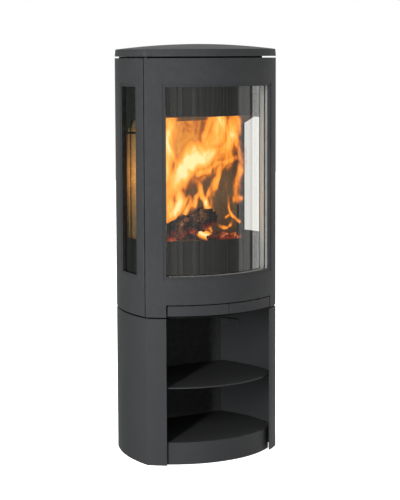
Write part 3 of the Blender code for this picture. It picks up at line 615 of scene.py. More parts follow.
def char_material():
    """Burning wood: split black scales with painted highlights and painted shade in the cracks, and fire
    glowing in the cracks and along the underside.
    """
    made, tree, shader, place = new_material("charred_wood")
    warp = noise_node(tree, place, 30.0, 3.0)
    shifted = blend_colours(tree, 0.06, place, warp.outputs["Color"], "ADD")
    scales = add_node(tree, "ShaderNodeTexVoronoi", feature="DISTANCE_TO_EDGE")
    scales.inputs["Scale"].default_value = 75.0
    wire(tree, shifted, scales.inputs["Vector"])
    crack = remap(tree, scales.outputs["Distance"], 0.0, 0.10, 1.0, 0.0)
    grain = use_group(tree, COAT_GRAIN, place, Tooth_Scale=500.0, Drift_Scale=25.0, Drift=1.0)
    # Lighter brown patches at random across the scales: painted highlights of the firelight.
    painted_highlight = remap(tree, grain.outputs["Tone"], 0.48, 0.72)
    bark = blend_colours(tree, painted_highlight, (0.004, 0.0025, 0.002), (0.210, 0.092, 0.038))
    # The cracks between the scales are painted near black: painted shade in the grooves.
    dark = blend_colours(tree, math_node(tree, "MULTIPLY", crack, 0.9), bark, (0.002, 0.0015, 0.001))
    wire(tree, dark, shader.inputs["Base Color"])
    shader.inputs["Specular IOR Level"].default_value = 0.12
    shader.inputs["Roughness"].default_value = 0.92
    glow = add_node(tree, "ShaderNodeAttribute", attribute_name="glow")
    heart = noise_node(tree, place, 38.0, 4.0)
    hot = math_node(tree, "MULTIPLY", glow.outputs["Fac"], remap(tree, heart.outputs["Fac"], 0.38, 0.66))
    lit = math_node(tree, "MULTIPLY", hot, math_node(tree, "ADD", crack, 0.22))
    ramp = add_node(tree, "ShaderNodeValToRGB")
    wire(tree, lit, ramp.inputs["Fac"])
    stops = ramp.color_ramp
    stops.elements[0].color = (0.0, 0.0, 0.0, 1.0)
    stops.elements[1].color = (1.0, 0.42, 0.08, 1.0)
    stops.elements.new(0.35).color = (0.30, 0.018, 0.003, 1.0)
    wire(tree, ramp.outputs["Color"], shader.inputs["Emission Color"])
    shader.inputs["Emission Strength"].default_value = 1.3
    relief = math_node(tree, "SUBTRACT", grain.outputs["Height"], math_node(tree, "MULTIPLY", crack, 2.0))
    bump(tree, shader, relief, 0.9, 0.0025)
    return made


def ember_material():
    """Ash over live coals."""
    made, tree, shader, place = new_material("embers")
    patches = noise_node(tree, place, 48.0, 5.0, 0.6)
    ash = blend_colours(tree, patches.outputs["Fac"], (0.012, 0.010, 0.008), (0.110, 0.095, 0.078))
    wire(tree, ash, shader.inputs["Base Color"])
    shader.inputs["Roughness"].default_value = 0.95
    hot = remap(tree, patches.outputs["Fac"], 0.56, 0.40)
    glow = blend_colours(tree, hot, (0.0, 0.0, 0.0), (1.0, 0.20, 0.03))
    wire(tree, glow, shader.inputs["Emission Color"])
    shader.inputs["Emission Strength"].default_value = 0.07
    bump(tree, shader, patches.outputs["Fac"], 0.5, 0.001)
    return made


def flame_material(name, strength, cover, seed):
    """Fire: the sheet's own heat, torn by rising noise, gives its colour and how solid it looks."""
    made, tree, shader, place = new_material(name)
    heat = add_node(tree, "ShaderNodeAttribute", attribute_name="fire_heat")
    turned = add_node(tree, "ShaderNodeMapping")
    turned.inputs["Location"].default_value = (seed, 0.0, seed * 0.7)
    turned.inputs["Rotation"].default_value = (0.0, math.radians(34), 0.0)
    turned.inputs["Scale"].default_value = (1.0, 1.0, 0.46)
    wire(tree, place, turned.inputs["Vector"])
    tongue = noise_node(tree, turned.outputs[0], 19.0, 3.0, 0.5)
    tongue.inputs["Distortion"].default_value = 1.4
    fine = noise_node(tree, turned.outputs[0], 52.0, 2.0, 0.5)
    fine.inputs["Distortion"].default_value = 1.2
    torn = math_node(tree, "MULTIPLY", math_node(tree, "SUBTRACT", tongue.outputs["Fac"], 0.5), 1.10)
    licked = math_node(tree, "MULTIPLY", math_node(tree, "SUBTRACT", fine.outputs["Fac"], 0.5), 0.30)
    broken = math_node(tree, "ADD", torn, licked)
    gate = remap(tree, heat.outputs["Fac"], 0.02, 0.30)
    level = math_node(tree, "ADD", heat.outputs["Fac"], math_node(tree, "MULTIPLY", broken, gate), True)
    ramp = add_node(tree, "ShaderNodeValToRGB")
    wire(tree, level, ramp.inputs["Fac"])
    stops = ramp.color_ramp
    stops.elements[0].color = (0.10, 0.010, 0.001, 1.0)
    stops.elements[1].color = (1.0, 0.82, 0.38, 1.0)
    stops.elements.new(0.25).color = (0.42, 0.085, 0.008, 1.0)
    stops.elements.new(0.46).color = (0.92, 0.25, 0.018, 1.0)
    stops.elements.new(0.66).color = (1.0, 0.37, 0.035, 1.0)
    stops.elements.new(0.84).color = (1.0, 0.56, 0.11, 1.0)
    wire(tree, ramp.outputs["Color"], shader.inputs["Emission Color"])
    shader.inputs["Emission Strength"].default_value = strength
    shader.inputs["Base Color"].default_value = (0.0, 0.0, 0.0, 1.0)
    shader.inputs["Roughness"].default_value = 1.0
    shader.inputs["Specular IOR Level"].default_value = 0.0
    solid = remap(tree, level, 0.10, 0.62, 0.0, cover)
    wire(tree, solid, shader.inputs["Alpha"])
    return made


PAINT = coated_steel(
    "stove_paint", dark=(0.0170, 0.0176, 0.0188), light=(0.0252, 0.0260, 0.0270),
    rubbed=(0.045, 0.046, 0.046), rough=0.58, tooth=1150.0, relief=0.16,
)
DARK = coated_steel(
    "black_sheet_steel", dark=(0.0035, 0.0037, 0.0034), light=(0.0080, 0.0082, 0.0076),
    rubbed=(0.020, 0.020, 0.019), rough=0.65, tooth=800.0, relief=0.05, shine=0.04,
)
SHELF_COAT = coated_steel(
    "shelf_coat", dark=(0.0185, 0.0190, 0.0195), light=(0.0240, 0.0245, 0.0250),
    rubbed=(0.0240, 0.0245, 0.0250), rough=0.52, tooth=950.0, relief=0.05, drift=0.25,
)
BARE = coated_steel(
    "bare_steel", dark=(0.24, 0.24, 0.24), light=(0.42, 0.41, 0.40), rubbed=(0.62, 0.61, 0.60),
    rough=0.36, tooth=500.0, relief=0.10, drift=0.9, metal=1.0, shine=0.5,
)
ZINC = coated_steel(
    "zinc_sheet", dark=(0.52, 0.52, 0.51), light=(0.68, 0.68, 0.66), rubbed=(0.75, 0.75, 0.74),
    rough=0.50, tooth=420.0, relief=0.04, drift=0.5, metal=0.55, shine=0.5,
)
IRON = coated_steel(
    "cast_iron", dark=(0.018, 0.017, 0.016), light=(0.042, 0.039, 0.037),
    rubbed=(0.130, 0.120, 0.112), rough=0.72, tooth=380.0, relief=0.75,
)
GLASS = glass_material("ceramic_glass", tint=(0.97, 0.965, 0.945))
ROPE = rope_material("seal_rope", dark=(0.020, 0.020, 0.020), light=(0.300, 0.300, 0.290))
BRICK = brick_material()
CHAR = char_material()
EMBERS = ember_material()
FLAME_FRONT = flame_material("flame_front", strength=1.25, cover=0.94, seed=3.1)
FLAME_BACK = flame_material("flame_back", strength=1.05, cover=0.85, seed=8.4)


# ---- Geometry Nodes for what repeats or follows a path -------------------------------------
def geometry_tree(name, inputs):
    tree = bpy.data.node_groups.new(name, "GeometryNodeTree")
    tree.interface.new_socket("Geometry", in_out="INPUT", socket_type="NodeSocketGeometry")
    for label, kind, value in inputs:
        socket = tree.interface.new_socket(label, in_out="INPUT", socket_type="NodeSocket" + kind)
        if value is not None:
            socket.default_value = value
    tree.interface.new_socket("Geometry", in_out="OUTPUT", socket_type="NodeSocketGeometry")
    return tree, tree.nodes.new("NodeGroupInput"), tree.nodes.new("NodeGroupOutput")


def finish_tree(tree, source, given, result):
    real = add_node(tree, "GeometryNodeRealizeInstances")
    skin = add_node(tree, "GeometryNodeSetMaterial")
    wire(tree, source, real.inputs[0])
    wire(tree, real.outputs[0], skin.inputs["Geometry"])
    wire(tree, given.outputs["Material"], skin.inputs["Material"])
    wire(tree, skin.outputs[0], result.inputs[0])
    return tree


def screw_heads_tree():
    """A pan-head screw on every point of the mesh, all facing one way."""
    tree, given, result = geometry_tree(
        "screw_heads",
        [("Head Radius", "Float", 0.0042), ("Head Height", "Float", 0.0018),
         ("Facing", "Vector", (0.0, 1.0, 0.0)), ("Material", "Material", None)],
    )
    head = add_node(tree, "GeometryNodeMeshCylinder")
    head.inputs["Vertices"].default_value = 20
    wire(tree, given.outputs["Head Radius"], head.inputs["Radius"])
    wire(tree, given.outputs["Head Height"], head.inputs["Depth"])
    drive = add_node(tree, "GeometryNodeMeshCylinder")
    drive.inputs["Vertices"].default_value = 6
    wire(tree, math_node(tree, "MULTIPLY", given.outputs["Head Radius"], 0.45), drive.inputs["Radius"])
    wire(tree, given.outputs["Head Height"], drive.inputs["Depth"])
    lift = add_node(tree, "GeometryNodeTransform")
    rise = add_node(tree, "ShaderNodeCombineXYZ")
    wire(tree, math_node(tree, "MULTIPLY", given.outputs["Head Height"], 0.55), rise.inputs["Z"])
    wire(tree, drive.outputs["Mesh"], lift.inputs["Geometry"])
    wire(tree, rise.outputs[0], lift.inputs["Translation"])
    socketed = add_node(tree, "GeometryNodeMeshBoolean", operation="DIFFERENCE", solver="EXACT")
    wire(tree, head.outputs["Mesh"], socketed.inputs["Mesh 1"])
    wire(tree, lift.outputs[0], socketed.inputs["Mesh 2"])
    align = add_node(tree, "FunctionNodeAlignRotationToVector", axis="Z")
    wire(tree, given.outputs["Facing"], align.inputs["Vector"])
    place = add_node(tree, "GeometryNodeInstanceOnPoints")
    wire(tree, given.outputs["Geometry"], place.inputs["Points"])
    wire(tree, socketed.outputs["Mesh"], place.inputs["Instance"])
    wire(tree, align.outputs[0], place.inputs["Rotation"])
    return finish_tree(tree, place.outputs[0], given, result)


def twisted_rope_tree():
    """Strands wound round a closed path, like a laid glass-fibre rope."""
    tree, given, result = geometry_tree(
        "twisted_rope",
        [("Rope Radius", "Float", 0.0040), ("Strand Radius", "Float", 0.0021),
         ("Turn Length", "Float", 0.016), ("Step", "Float", 0.0016), ("Strands", "Int", 4),
         ("Material", "Material", None)],
    )
    evenly = add_node(tree, "GeometryNodeResampleCurve", mode="LENGTH")
    wire(tree, given.outputs["Geometry"], evenly.inputs["Curve"])
    wire(tree, given.outputs["Step"], evenly.inputs["Length"])
    copies = add_node(tree, "GeometryNodeDuplicateElements", domain="SPLINE")
    wire(tree, evenly.outputs[0], copies.inputs["Geometry"])
    wire(tree, given.outputs["Strands"], copies.inputs["Amount"])
    along = add_node(tree, "GeometryNodeSplineParameter")
    length = add_node(tree, "GeometryNodeSplineLength")
    fitting = math_node(tree, "DIVIDE", length.outputs["Length"], given.outputs["Turn Length"])
    whole = math_node(tree, "ROUND", fitting, 0)
    turned = math_node(tree, "MULTIPLY", along.outputs["Factor"], whole)
    wound = math_node(tree, "MULTIPLY", turned, 2 * math.pi)
    share = math_node(tree, "DIVIDE", copies.outputs["Duplicate Index"], given.outputs["Strands"])
    angle = math_node(tree, "ADD", wound, math_node(tree, "MULTIPLY", share, 2 * math.pi))
    normal = add_node(tree, "GeometryNodeInputNormal")
    tangent = add_node(tree, "GeometryNodeInputTangent")
    spin = add_node(tree, "ShaderNodeVectorRotate", rotation_type="AXIS_ANGLE")
    wire(tree, normal.outputs[0], spin.inputs["Vector"])
    wire(tree, tangent.outputs[0], spin.inputs["Axis"])
    wire(tree, angle, spin.inputs["Angle"])
    off = add_node(tree, "ShaderNodeVectorMath", operation="SCALE")
    wire(tree, spin.outputs[0], off.inputs[0])
    reach = math_node(tree, "SUBTRACT", given.outputs["Rope Radius"], given.outputs["Strand Radius"])
    wire(tree, reach, off.inputs["Scale"])
    move = add_node(tree, "GeometryNodeSetPosition")
    wire(tree, copies.outputs["Geometry"], move.inputs["Geometry"])
    wire(tree, off.outputs[0], move.inputs["Offset"])
    profile = add_node(tree, "GeometryNodeCurvePrimitiveCircle")
    profile.inputs["Resolution"].default_value = 7
    wire(tree, given.outputs["Strand Radius"], profile.inputs["Radius"])
    skin = add_node(tree, "GeometryNodeCurveToMesh")
    wire(tree, move.outputs[0], skin.inputs[0])
    wire(tree, profile.outputs[0], skin.inputs[1])
    return finish_tree(tree, skin.outputs[0], given, result)


def coal_bed_tree():
    """Lumps of ash and coal scattered over the mesh it is given, each turned its own way."""
    tree, given, result = geometry_tree(
        "coal_bed",
        [("Density", "Float", 9000.0), ("Smallest", "Float", 0.002), ("Largest", "Float", 0.008),
         ("Seed", "Int", 7), ("Material", "Material", None)],
    )
    scatter = add_node(tree, "GeometryNodeDistributePointsOnFaces")
    wire(tree, given.outputs["Geometry"], scatter.inputs["Mesh"])
    wire(tree, given.outputs["Density"], scatter.inputs["Density"])
    wire(tree, given.outputs["Seed"], scatter.inputs["Seed"])
    lump = add_node(tree, "GeometryNodeMeshIcoSphere")
    lump.inputs["Radius"].default_value = 1.0
    lump.inputs["Subdivisions"].default_value = 1
    size = add_node(tree, "FunctionNodeRandomValue", data_type="FLOAT")
    wire(tree, given.outputs["Smallest"], size.inputs[2])
    wire(tree, given.outputs["Largest"], size.inputs[3])
    wire(tree, given.outputs["Seed"], size.inputs["Seed"])
    turn = add_node(tree, "FunctionNodeRandomValue", data_type="FLOAT_VECTOR")
    turn.inputs[1].default_value = (6.28, 6.28, 6.28)
    wire(tree, given.outputs["Seed"], turn.inputs["Seed"])
    squash = add_node(tree, "ShaderNodeCombineXYZ")
    wire(tree, size.outputs[1], squash.inputs["X"])
    wire(tree, math_node(tree, "MULTIPLY", size.outputs[1], 0.7), squash.inputs["Y"])
    wire(tree, math_node(tree, "MULTIPLY", size.outputs[1], 0.5), squash.inputs["Z"])
    place = add_node(tree, "GeometryNodeInstanceOnPoints")
    wire(tree, scatter.outputs["Points"], place.inputs["Points"])
    wire(tree, lump.outputs[0], place.inputs["Instance"])
    wire(tree, turn.outputs[0], place.inputs["Rotation"])
    wire(tree, squash.outputs[0], place.inputs["Scale"])
    return finish_tree(tree, place.outputs[0], given, result)


def grown(name, source, tree, **values):
    """Runs a geometry tree on a source object and keeps only the mesh it makes."""
    nodes = source.modifiers.new("grow", "NODES")
    nodes.node_group = tree
    for item in tree.interface.items_tree:
        key = item.name.replace(" ", "_")
        if item.item_type == "SOCKET" and item.in_out == "INPUT" and key in values:
            nodes[item.identifier] = values[key]
    mesh = evaluated_mesh(source)
    bpy.data.objects.remove(source)
    mesh.name = name
    return link(name, mesh)


SCREW_HEADS = screw_heads_tree()
TWISTED_ROPE = twisted_rope_tree()
COAL_BED = coal_bed_tree()


def screws(name, places, radius, body):
    """Screw heads standing at the given places, all facing the back."""
    mesh = bpy.data.meshes.new(name + "_points")
    mesh.from_pydata([tuple(place) for place in places], [], [])
    made = grown(name, link(name + "_points", mesh), SCREW_HEADS, Head_Radius=radius,
                 Head_Height=radius * 0.45, Facing=(0.0, 1.0, 0.0), Material=BARE)
    return dress(made, body, BARE, "bare_steel")


# ---- Pedestal ------------------------------------------------------------------------------
def wall_outline(start_outer, start_inner):
    """A folded side wall seen from above: its front stretch, the side and the return at the back."""
    end_y = BACK_Y - SHEET - GAP
    tip = side_point(0.0, end_y).x - RETURN
    outer = start_outer + side_arc(0.0, start_outer[-1].y, end_y)[1:]
    fold = [Vector((tip, end_y)), Vector((tip, end_y - SHEET))]
    inner = side_arc(SHEET, end_y - SHEET, start_inner[0].y)
    return outer + fold + inner[:-1] + start_inner


def pedestal():
    outer_angle = front_angle(corner(0.0, 0.0))
    inner_angle = front_angle(corner(SHEET, SHEET))
    outline = wall_outline(
        front_arc(0.0, OPENING_ANGLE, outer_angle, 12),
        front_arc(SHEET, inner_angle, OPENING_ANGLE, 12),
    )
    wall = round_edges(slab("pedestal_side_right", [outline], BASE_LIFT, PEDESTAL_TOP), 0.0009, 3)
    dress_pair(wall, "stove", PAINT, "paint", "pedestal_wall")
    inner_back = BACK_Y - INNER_BACK
    floor = plan_outline(RECESS + SHEET + GAP, INNER_SIDE, inner_back)
    bottom = slab("compartment_floor", [floor], FLOOR_TOP - SHEET, FLOOR_TOP)
    dress(bottom, "stove", SHELF_COAT, "dark_steel", "pedestal_floor")
    reach = OPENING_ANGLE + math.radians(4.0)
    kick = front_band(RECESS, RECESS + SHEET, -reach, reach)
    front = slab("plinth_front", [kick], BASE_LIFT, FLOOR_TOP)
    dress(round_edges(front, 0.0010, 3), "stove", PAINT, "paint", "plinth")
    rim = plan_outline(RECESS, INNER_SIDE, inner_back)
    board = slab("shelf_board", [rim], SHELF_TOP - SHEET, SHELF_TOP)
    dress(round_edges(board, 0.0012, 3), "stove", SHELF_COAT, "dark_steel", "shelf")


# ---- Body ----------------------------------------------------------------------------------
def body():
    offset = KNUCKLE + DOOR_GAP
    depth = FRONT_PLATE_BACK - KNUCKLE
    door_side = RIGHT_EDGE + EDGE_BACK * offset
    far_side = door_side + EDGE_BACK * SHEET
    flange = [door_side - EDGE_OUT * depth, line_to_side(door_side, EDGE_OUT, 0.0)]
    flange_back = [line_to_side(far_side, EDGE_OUT, SHEET), far_side - EDGE_OUT * depth]
    panel = slab("body_side_right", [wall_outline(flange, flange_back)], BODY_BOTTOM, BODY_TOP)
    window = SIDE_WINDOW_FRONT, SIDE_WINDOW_BACK, WINDOW_BOTTOM, WINDOW_TOP
    step = (
        SIDE_WINDOW_FRONT - STEP_WIDTH,
        SIDE_WINDOW_BACK + STEP_WIDTH,
        WINDOW_BOTTOM - STEP_WIDTH,
        WINDOW_TOP + STEP_WIDTH,
    )
    cut(
        panel,
        side_wedge("side_window", *window),
        side_wedge("side_step", *step, inner=STEP_DEPTH),
    )
    dress_pair(round_edges(panel, 0.0007), "stove", PAINT, "paint", "side_panel")
    start = CREASE_Y + SIDE_WINDOW_FRONT - SIDE_PANE_LAP
    end = CREASE_Y + SIDE_WINDOW_BACK + SIDE_PANE_LAP
    pane = slab("side_pane_right", [side_band(SIDE_PANE_FRONT, SIDE_PANE_BACK, start, end)],
                WINDOW_BOTTOM - SIDE_PANE_LAP, WINDOW_TOP + SIDE_PANE_LAP)
    dress_pair(round_edges(pane, 0.0004), "stove", GLASS, "glass", "side_glass")
    top_plate()
    collar()


def dome_height(share):
    return PLATE_BOTTOM + PLATE_EDGE + DOME * (1.0 - share**2)


def top_plate():
    """A plate with a slightly drawn-in rim and a low dome, hollow underneath."""
    outline = plan_outline(0.0, 0.0, BACK_Y)
    middle = Vector((0.0, (CREASE_Y - FRONT_BULGE + BACK_Y) / 2))
    drawn_in = 0.991
    rim_top = PLATE_BOTTOM + PLATE_EDGE - 0.0015
    rings = [(1.0, PLATE_BOTTOM + 0.0006), (drawn_in + 0.0014, rim_top - 0.0006)]
    rings += [(drawn_in - 0.0006, rim_top + 0.0007), (drawn_in - 0.0030, rim_top + 0.0014)]
    steps = 24
    for i in range(steps):
        share = 1.0 - i / steps
        rings.append((drawn_in * share - 0.006 * share, dome_height(share)))
    solid = bmesh.new()
    loops = []
    for scale, height in [(0.9975, PLATE_BOTTOM)] + rings:
        places = [middle + (point - middle) * scale for point in outline]
        loops.append([solid.verts.new((place.x, place.y, height)) for place in places])
    peak = solid.verts.new((middle.x, middle.y, dome_height(0.0)))
    count = len(outline)
    for below, above in zip(loops, loops[1:]):
        for i in range(count):
            j = (i + 1) % count
            solid.faces.new((below[i], below[j], above[j], above[i]))
    for i in range(count):
        solid.faces.new((loops[-1][i], loops[-1][(i + 1) % count], peak))
    solid.faces.new(reversed(loops[0]))
    mesh = bpy.data.meshes.new("domed_top")
    solid.to_mesh(mesh)
    solid.free()
    plate = link("domed_top", mesh)
    front_rim, rim, depth = 0.070, 0.034, 0.013
    hollow = plan_outline(front_rim, rim, BACK_Y - rim)
    cut(plate, slab("top_hollow", [hollow], PLATE_BOTTOM - CUT_PAST, PLATE_BOTTOM + depth))
    dress(plate, "stove", PAINT, "paint", "top_plate", smooth=24)


def collar():
    """The flue collar, turned about its axis, with a rolled lip at its end."""
    bore = FLUE_RADIUS - 0.003
    start = CREASE_Y + COVER_BACK + GAP
    length = BACK_Y + COLLAR_OUT - start
    rim = FLUE_RADIUS + FLANGE_WIDTH
    profile = [
        (FLUE_RADIUS - 0.0008, length), (FLUE_RADIUS, length - 0.0012), (FLUE_RADIUS, 0.003),
        (rim - 0.0004, 0.003), (rim, 0.0026), (rim, 0.0),
        (bore, 0.0), (bore, length - 0.0012), (bore + 0.0008, length),
    ]
    steps = 96
    solid = bmesh.new()
    rings = []
    for radius, along in profile:
        ring = []
        for i in range(steps):
            turn = 2 * math.pi * i / steps
            place = (radius * math.cos(turn), start + along, FLUE_HEIGHT + radius * math.sin(turn))
            ring.append(solid.verts.new(place))
        rings.append(ring)
    for ring, after in zip(rings, rings[1:] + rings[:1]):
        for i in range(steps):
            j = (i + 1) % steps
            solid.faces.new((ring[i], ring[j], after[j], after[i]))
    bmesh.ops.recalc_face_normals(solid, faces=solid.faces)
    mesh = bpy.data.meshes.new("flue_socket")
    solid.to_mesh(mesh)
    solid.free()
    dress(link("flue_socket", mesh), "stove", IRON, "iron", "flue_collar")


def back_fixings():
    sides = -SCREW_ACROSS, SCREW_ACROSS
    rows = [(x, BACK_Y + GAP, z) for z in HIGH_SCREW_HEIGHTS for x in sides]
    rows += [(x, BACK_Y + GAP, z) for z in (0.4480, 1.1580) for x in (-0.1050, 0.0, 0.1050)]
    screws("back_panel_screws", rows, SCREW_RADIUS, "stove")
    rows = [(x, BACK_Y + GAP, z) for z in LOW_SCREW_HEIGHTS for x in sides]
    screws("pedestal_back_screws", rows, SCREW_RADIUS, "stove")
    ring = []
    for i in range(8):
        turn = 2 * math.pi * (i + 0.5) / 8
        reach = FLUE_RADIUS + 0.0075
        height = FLUE_HEIGHT + reach * math.sin(turn)
        ring.append((reach * math.cos(turn), CREASE_Y + COLLAR_SCREW_FACE, height))
    screws("collar_screws", ring, 0.0032, "stove")


# ---- Door ----------------------------------------------------------------------------------
def knuckle_outline():
    """The door seen from above: bowed faces with a rounded knuckle at each side."""
    steps = 12
    wrap = []
    for i in range(1, steps + 1):
        turn = Matrix.Rotation(math.pi / 2 * i / steps, 2)
        wrap.append(RIGHT_EDGE + turn @ EDGE_OUT * KNUCKLE)
    end = RIGHT_EDGE + EDGE_BACK * KNUCKLE - EDGE_OUT * (FRAME_DEPTH - KNUCKLE)
    right = wrap + [end]
    outer = front_arc(0.0, -EDGE_ANGLE, EDGE_ANGLE)
    inner = front_arc(FRAME_DEPTH, EDGE_ANGLE, -EDGE_ANGLE)
    return outer + right + inner + mirrored(right)


def door():
    leaf = slab("door_leaf", [knuckle_outline()], BODY_BOTTOM, BODY_TOP)
    rebate_angle = OPENING_ANGLE + REBATE / FRONT_RADIUS
    step_angle = OPENING_ANGLE + STEP_WIDTH / FRONT_RADIUS
    pocket = OPENING_ANGLE * 0.80
    low_pin = (*HINGE, BODY_BOTTOM - CUT_PAST), (*HINGE, BODY_BOTTOM + PIN_DEPTH)
    high_pin = (*HINGE, BODY_TOP - PIN_DEPTH), (*HINGE, BODY_TOP + CUT_PAST)
    shaft = (*SHAFT, NOTCH_TOP - CUT_PAST), (*SHAFT, NOTCH_TOP + SHAFT_DEPTH)
    cut(
        leaf,
        front_wedge("window", OPENING_ANGLE, WINDOW_BOTTOM, WINDOW_TOP),
        front_wedge("step", step_angle, WINDOW_BOTTOM - STEP_WIDTH, WINDOW_TOP + STEP_WIDTH,
                    inner=STEP_DEPTH),
        front_wedge("rebate", rebate_angle, WINDOW_BOTTOM - REBATE, WINDOW_TOP + REBATE, JAMB),
        front_wedge("notch", OPENING_ANGLE, BODY_BOTTOM - CUT_PAST, NOTCH_TOP),
        front_wedge("low_pocket", pocket, POCKET_BOTTOM, WINDOW_BOTTOM - POCKET_EDGE, POCKET_INSET),
        front_wedge("high_pocket", pocket, WINDOW_TOP + POCKET_EDGE, BODY_TOP - 0.012, POCKET_INSET),
        cylinder("low_bore", PIN_BORE, *low_pin),
        cylinder("high_bore", PIN_BORE, *high_pin),
        cylinder("shaft_bore", SHAFT_RADIUS + SHAFT_CLEAR, *shaft),
    )
    dress(round_edges(leaf, 0.0007), "door", PAINT, "paint", "door_frame")
    pane_angle = OPENING_ANGLE + PANE_LAP / FRONT_RADIUS
    pane = slab("door_pane", [front_band(PANE_FRONT, PANE_BACK, -pane_angle, pane_angle)],
                WINDOW_BOTTOM - PANE_LAP, WINDOW_TOP + PANE_LAP)
    dress(round_edges(pane, 0.0004), "door", GLASS, "glass", "door_glass")
    liner_angle = EDGE_ANGLE - 0.002 / FRONT_RADIUS
    liner = front_band(FRAME_DEPTH + GAP, LINER_DEPTH, -liner_angle, liner_angle)
    backing = slab("door_lining", [liner], LINER_BOTTOM, BODY_TOP - 0.009)
    cut(backing, front_wedge("sight", OPENING_ANGLE, WINDOW_BOTTOM - 0.001, WINDOW_TOP + 0.001))
    dress(round_edges(backing, 0.0008), "door", ZINC, "bare_steel", "door_liner")
    pad_angle = liner_angle - 0.028
    seal_path = rope_path(LINER_DEPTH + 0.0030, pad_angle, low=0.4895, high=BODY_TOP - 0.0195,
                          corner_radius=0.012)
    wound(seal_path, "door_seal_rope", radius=0.0030, strand=0.0017, turn=0.014, node="door_rope")
    glazing_path = rope_path(
        0.0136, OPENING_ANGLE + ROPE_LAP / FRONT_RADIUS,
        low=WINDOW_BOTTOM - ROPE_LAP, high=WINDOW_TOP + ROPE_LAP, corner_radius=0.004,
    )
    wound(glazing_path, "glazing_rope", radius=0.0041, strand=0.0023, turn=0.0150,
          node="glass_rope")
    screws("lining_screws", lining_places(), 0.0028, "door")


def lining_places():
    """Screws in the flat lower and upper rails of the lining, where its face looks back."""
    rows = []
    for height in (0.5170, BODY_TOP - 0.0460):
        for angle in (-0.08, 0.08):
            point = front_point(LINER_DEPTH + 0.0005, angle)
            rows.append((point.x, point.y, height))
    return rows


def rope_path(inset, angle, low, high, corner_radius):
    """A closed path round a bowed opening, with rounded corners."""
    reach = angle * (FRONT_RADIUS - inset)
    turns = []
    quarter = 6
    spacing = 0.008
    middles = (
        (reach - corner_radius, high - corner_radius, 0),
        (-reach + corner_radius, high - corner_radius, 90),
        (-reach + corner_radius, low + corner_radius, 180),
        (reach - corner_radius, low + corner_radius, 270),
    )
    for across, height, start in middles:
        for i in range(quarter + 1):
            turn = math.radians(start + 90 * i / quarter)
            beside = across + corner_radius * math.cos(turn)
            turns.append((beside, height + corner_radius * math.sin(turn)))
    path = []
    for (a, b), (c, d) in zip(turns, turns[1:] + turns[:1]):
        steps = max(1, round(math.hypot(c - a, d - b) / spacing))
        for i in range(steps):
            across = a + (c - a) * i / steps
            height = b + (d - b) * i / steps
            point = front_point(inset, across / (FRONT_RADIUS - inset))
            path.append((point.x, point.y, height))
    return path


def wound(path, name, radius, strand, turn, node):
    """A rope laid along a closed path, standing for the door's plain rope node."""
    curve = bpy.data.curves.new(name, "CURVE")
    curve.dimensions = "3D"
    spline = curve.splines.new("POLY")
    spline.points.add(len(path) - 1)
    spline.use_cyclic_u = True
    for point, place in zip(spline.points, path):
        point.co = (*place, 1.0)
    line = link(name + "_line", curve)
    rope = grown(name, line, TWISTED_ROPE, Rope_Radius=radius, Strand_Radius=strand, Turn_Length=turn,
                 Step=0.0016, Strands=4, Material=ROPE)
    return dress(rope, "door", ROPE, "rope", node, smooth=80)


# ---- Strips under the door -----------------------------------------------------------------
def split_angles(x):
    """Where the slanted line between the strips cuts their front and back faces."""
    outer = front_point(0.0, math.asin(x / FRONT_RADIUS))
    arm = outer - HINGE
    inward = Vector((-arm.y, arm.x)).normalized()
    inner = outer + inward * (STRIP_THICK / inward.y)
    return front_angle(outer), front_angle(inner)


def strips():
    outer_end, inner_end = split_angles(-STRIP_SPLIT)
    outer_start, inner_start = split_angles(STRIP_SPLIT)
    for name, body, node, outer, inner in (
        ("air_grip", "air_control", "air_strip", (-STRIP_ANGLE, outer_end), (inner_end, -STRIP_ANGLE)),
        ("door_grip", "handle", "handle_strip", (outer_start, STRIP_ANGLE), (STRIP_ANGLE, inner_start)),
    ):
        outline = front_arc(0.0, *outer, 48) + front_arc(STRIP_THICK, *inner, 48)
        strip = round_edges(slab(name, [outline], STRIP_BOTTOM, STRIP_TOP), 0.0008, 3)
        dress(strip, body, PAINT, "paint", node)


# ---- Firebox -------------------------------------------------------------------------------
def firebox():
    front_end = front_angle(RIGHT_EDGE + EDGE_BACK * (KNUCKLE + DOOR_GAP - 0.0005))
    band = front_band(FRONT_PLATE, FRONT_PLATE_BACK, -front_end, front_end)
    plate = slab("firebox_face", [band], NOTCH_TOP + 0.003, BODY_TOP - 0.0080)
    half, low, high = ASH_OPENING
    cut(
        plate,
        front_wedge("fire_opening", OPENING_ANGLE * FIRE_SPREAD, FIRE_BOTTOM, FIRE_TOP),
        box("ash_opening", (-half, -0.4, low), (half, CREASE_Y + 0.02, high)),
    )
    dress(round_edges(plate, 0.0006), "stove", DARK, "dark_steel", "firebox_front")
    bed = bpy.data.meshes.new("bed")
    corners = [(-0.150, CREASE_Y - 0.010), (0.150, CREASE_Y - 0.010), (0.165, CREASE_Y + 0.150),
               (-0.165, CREASE_Y + 0.150)]
    bed.from_pydata([(x, y, HEARTH_TOP + 0.001) for x, y in corners], [], [(0, 1, 2, 3)])
    lumps = grown("coal_bed", link("bed", bed), COAL_BED, Density=16000.0, Smallest=0.002,
                  Largest=0.0085, Seed=11, Material=EMBERS)
    dress(lumps, "stove", EMBERS, "charred_wood", smooth=10)


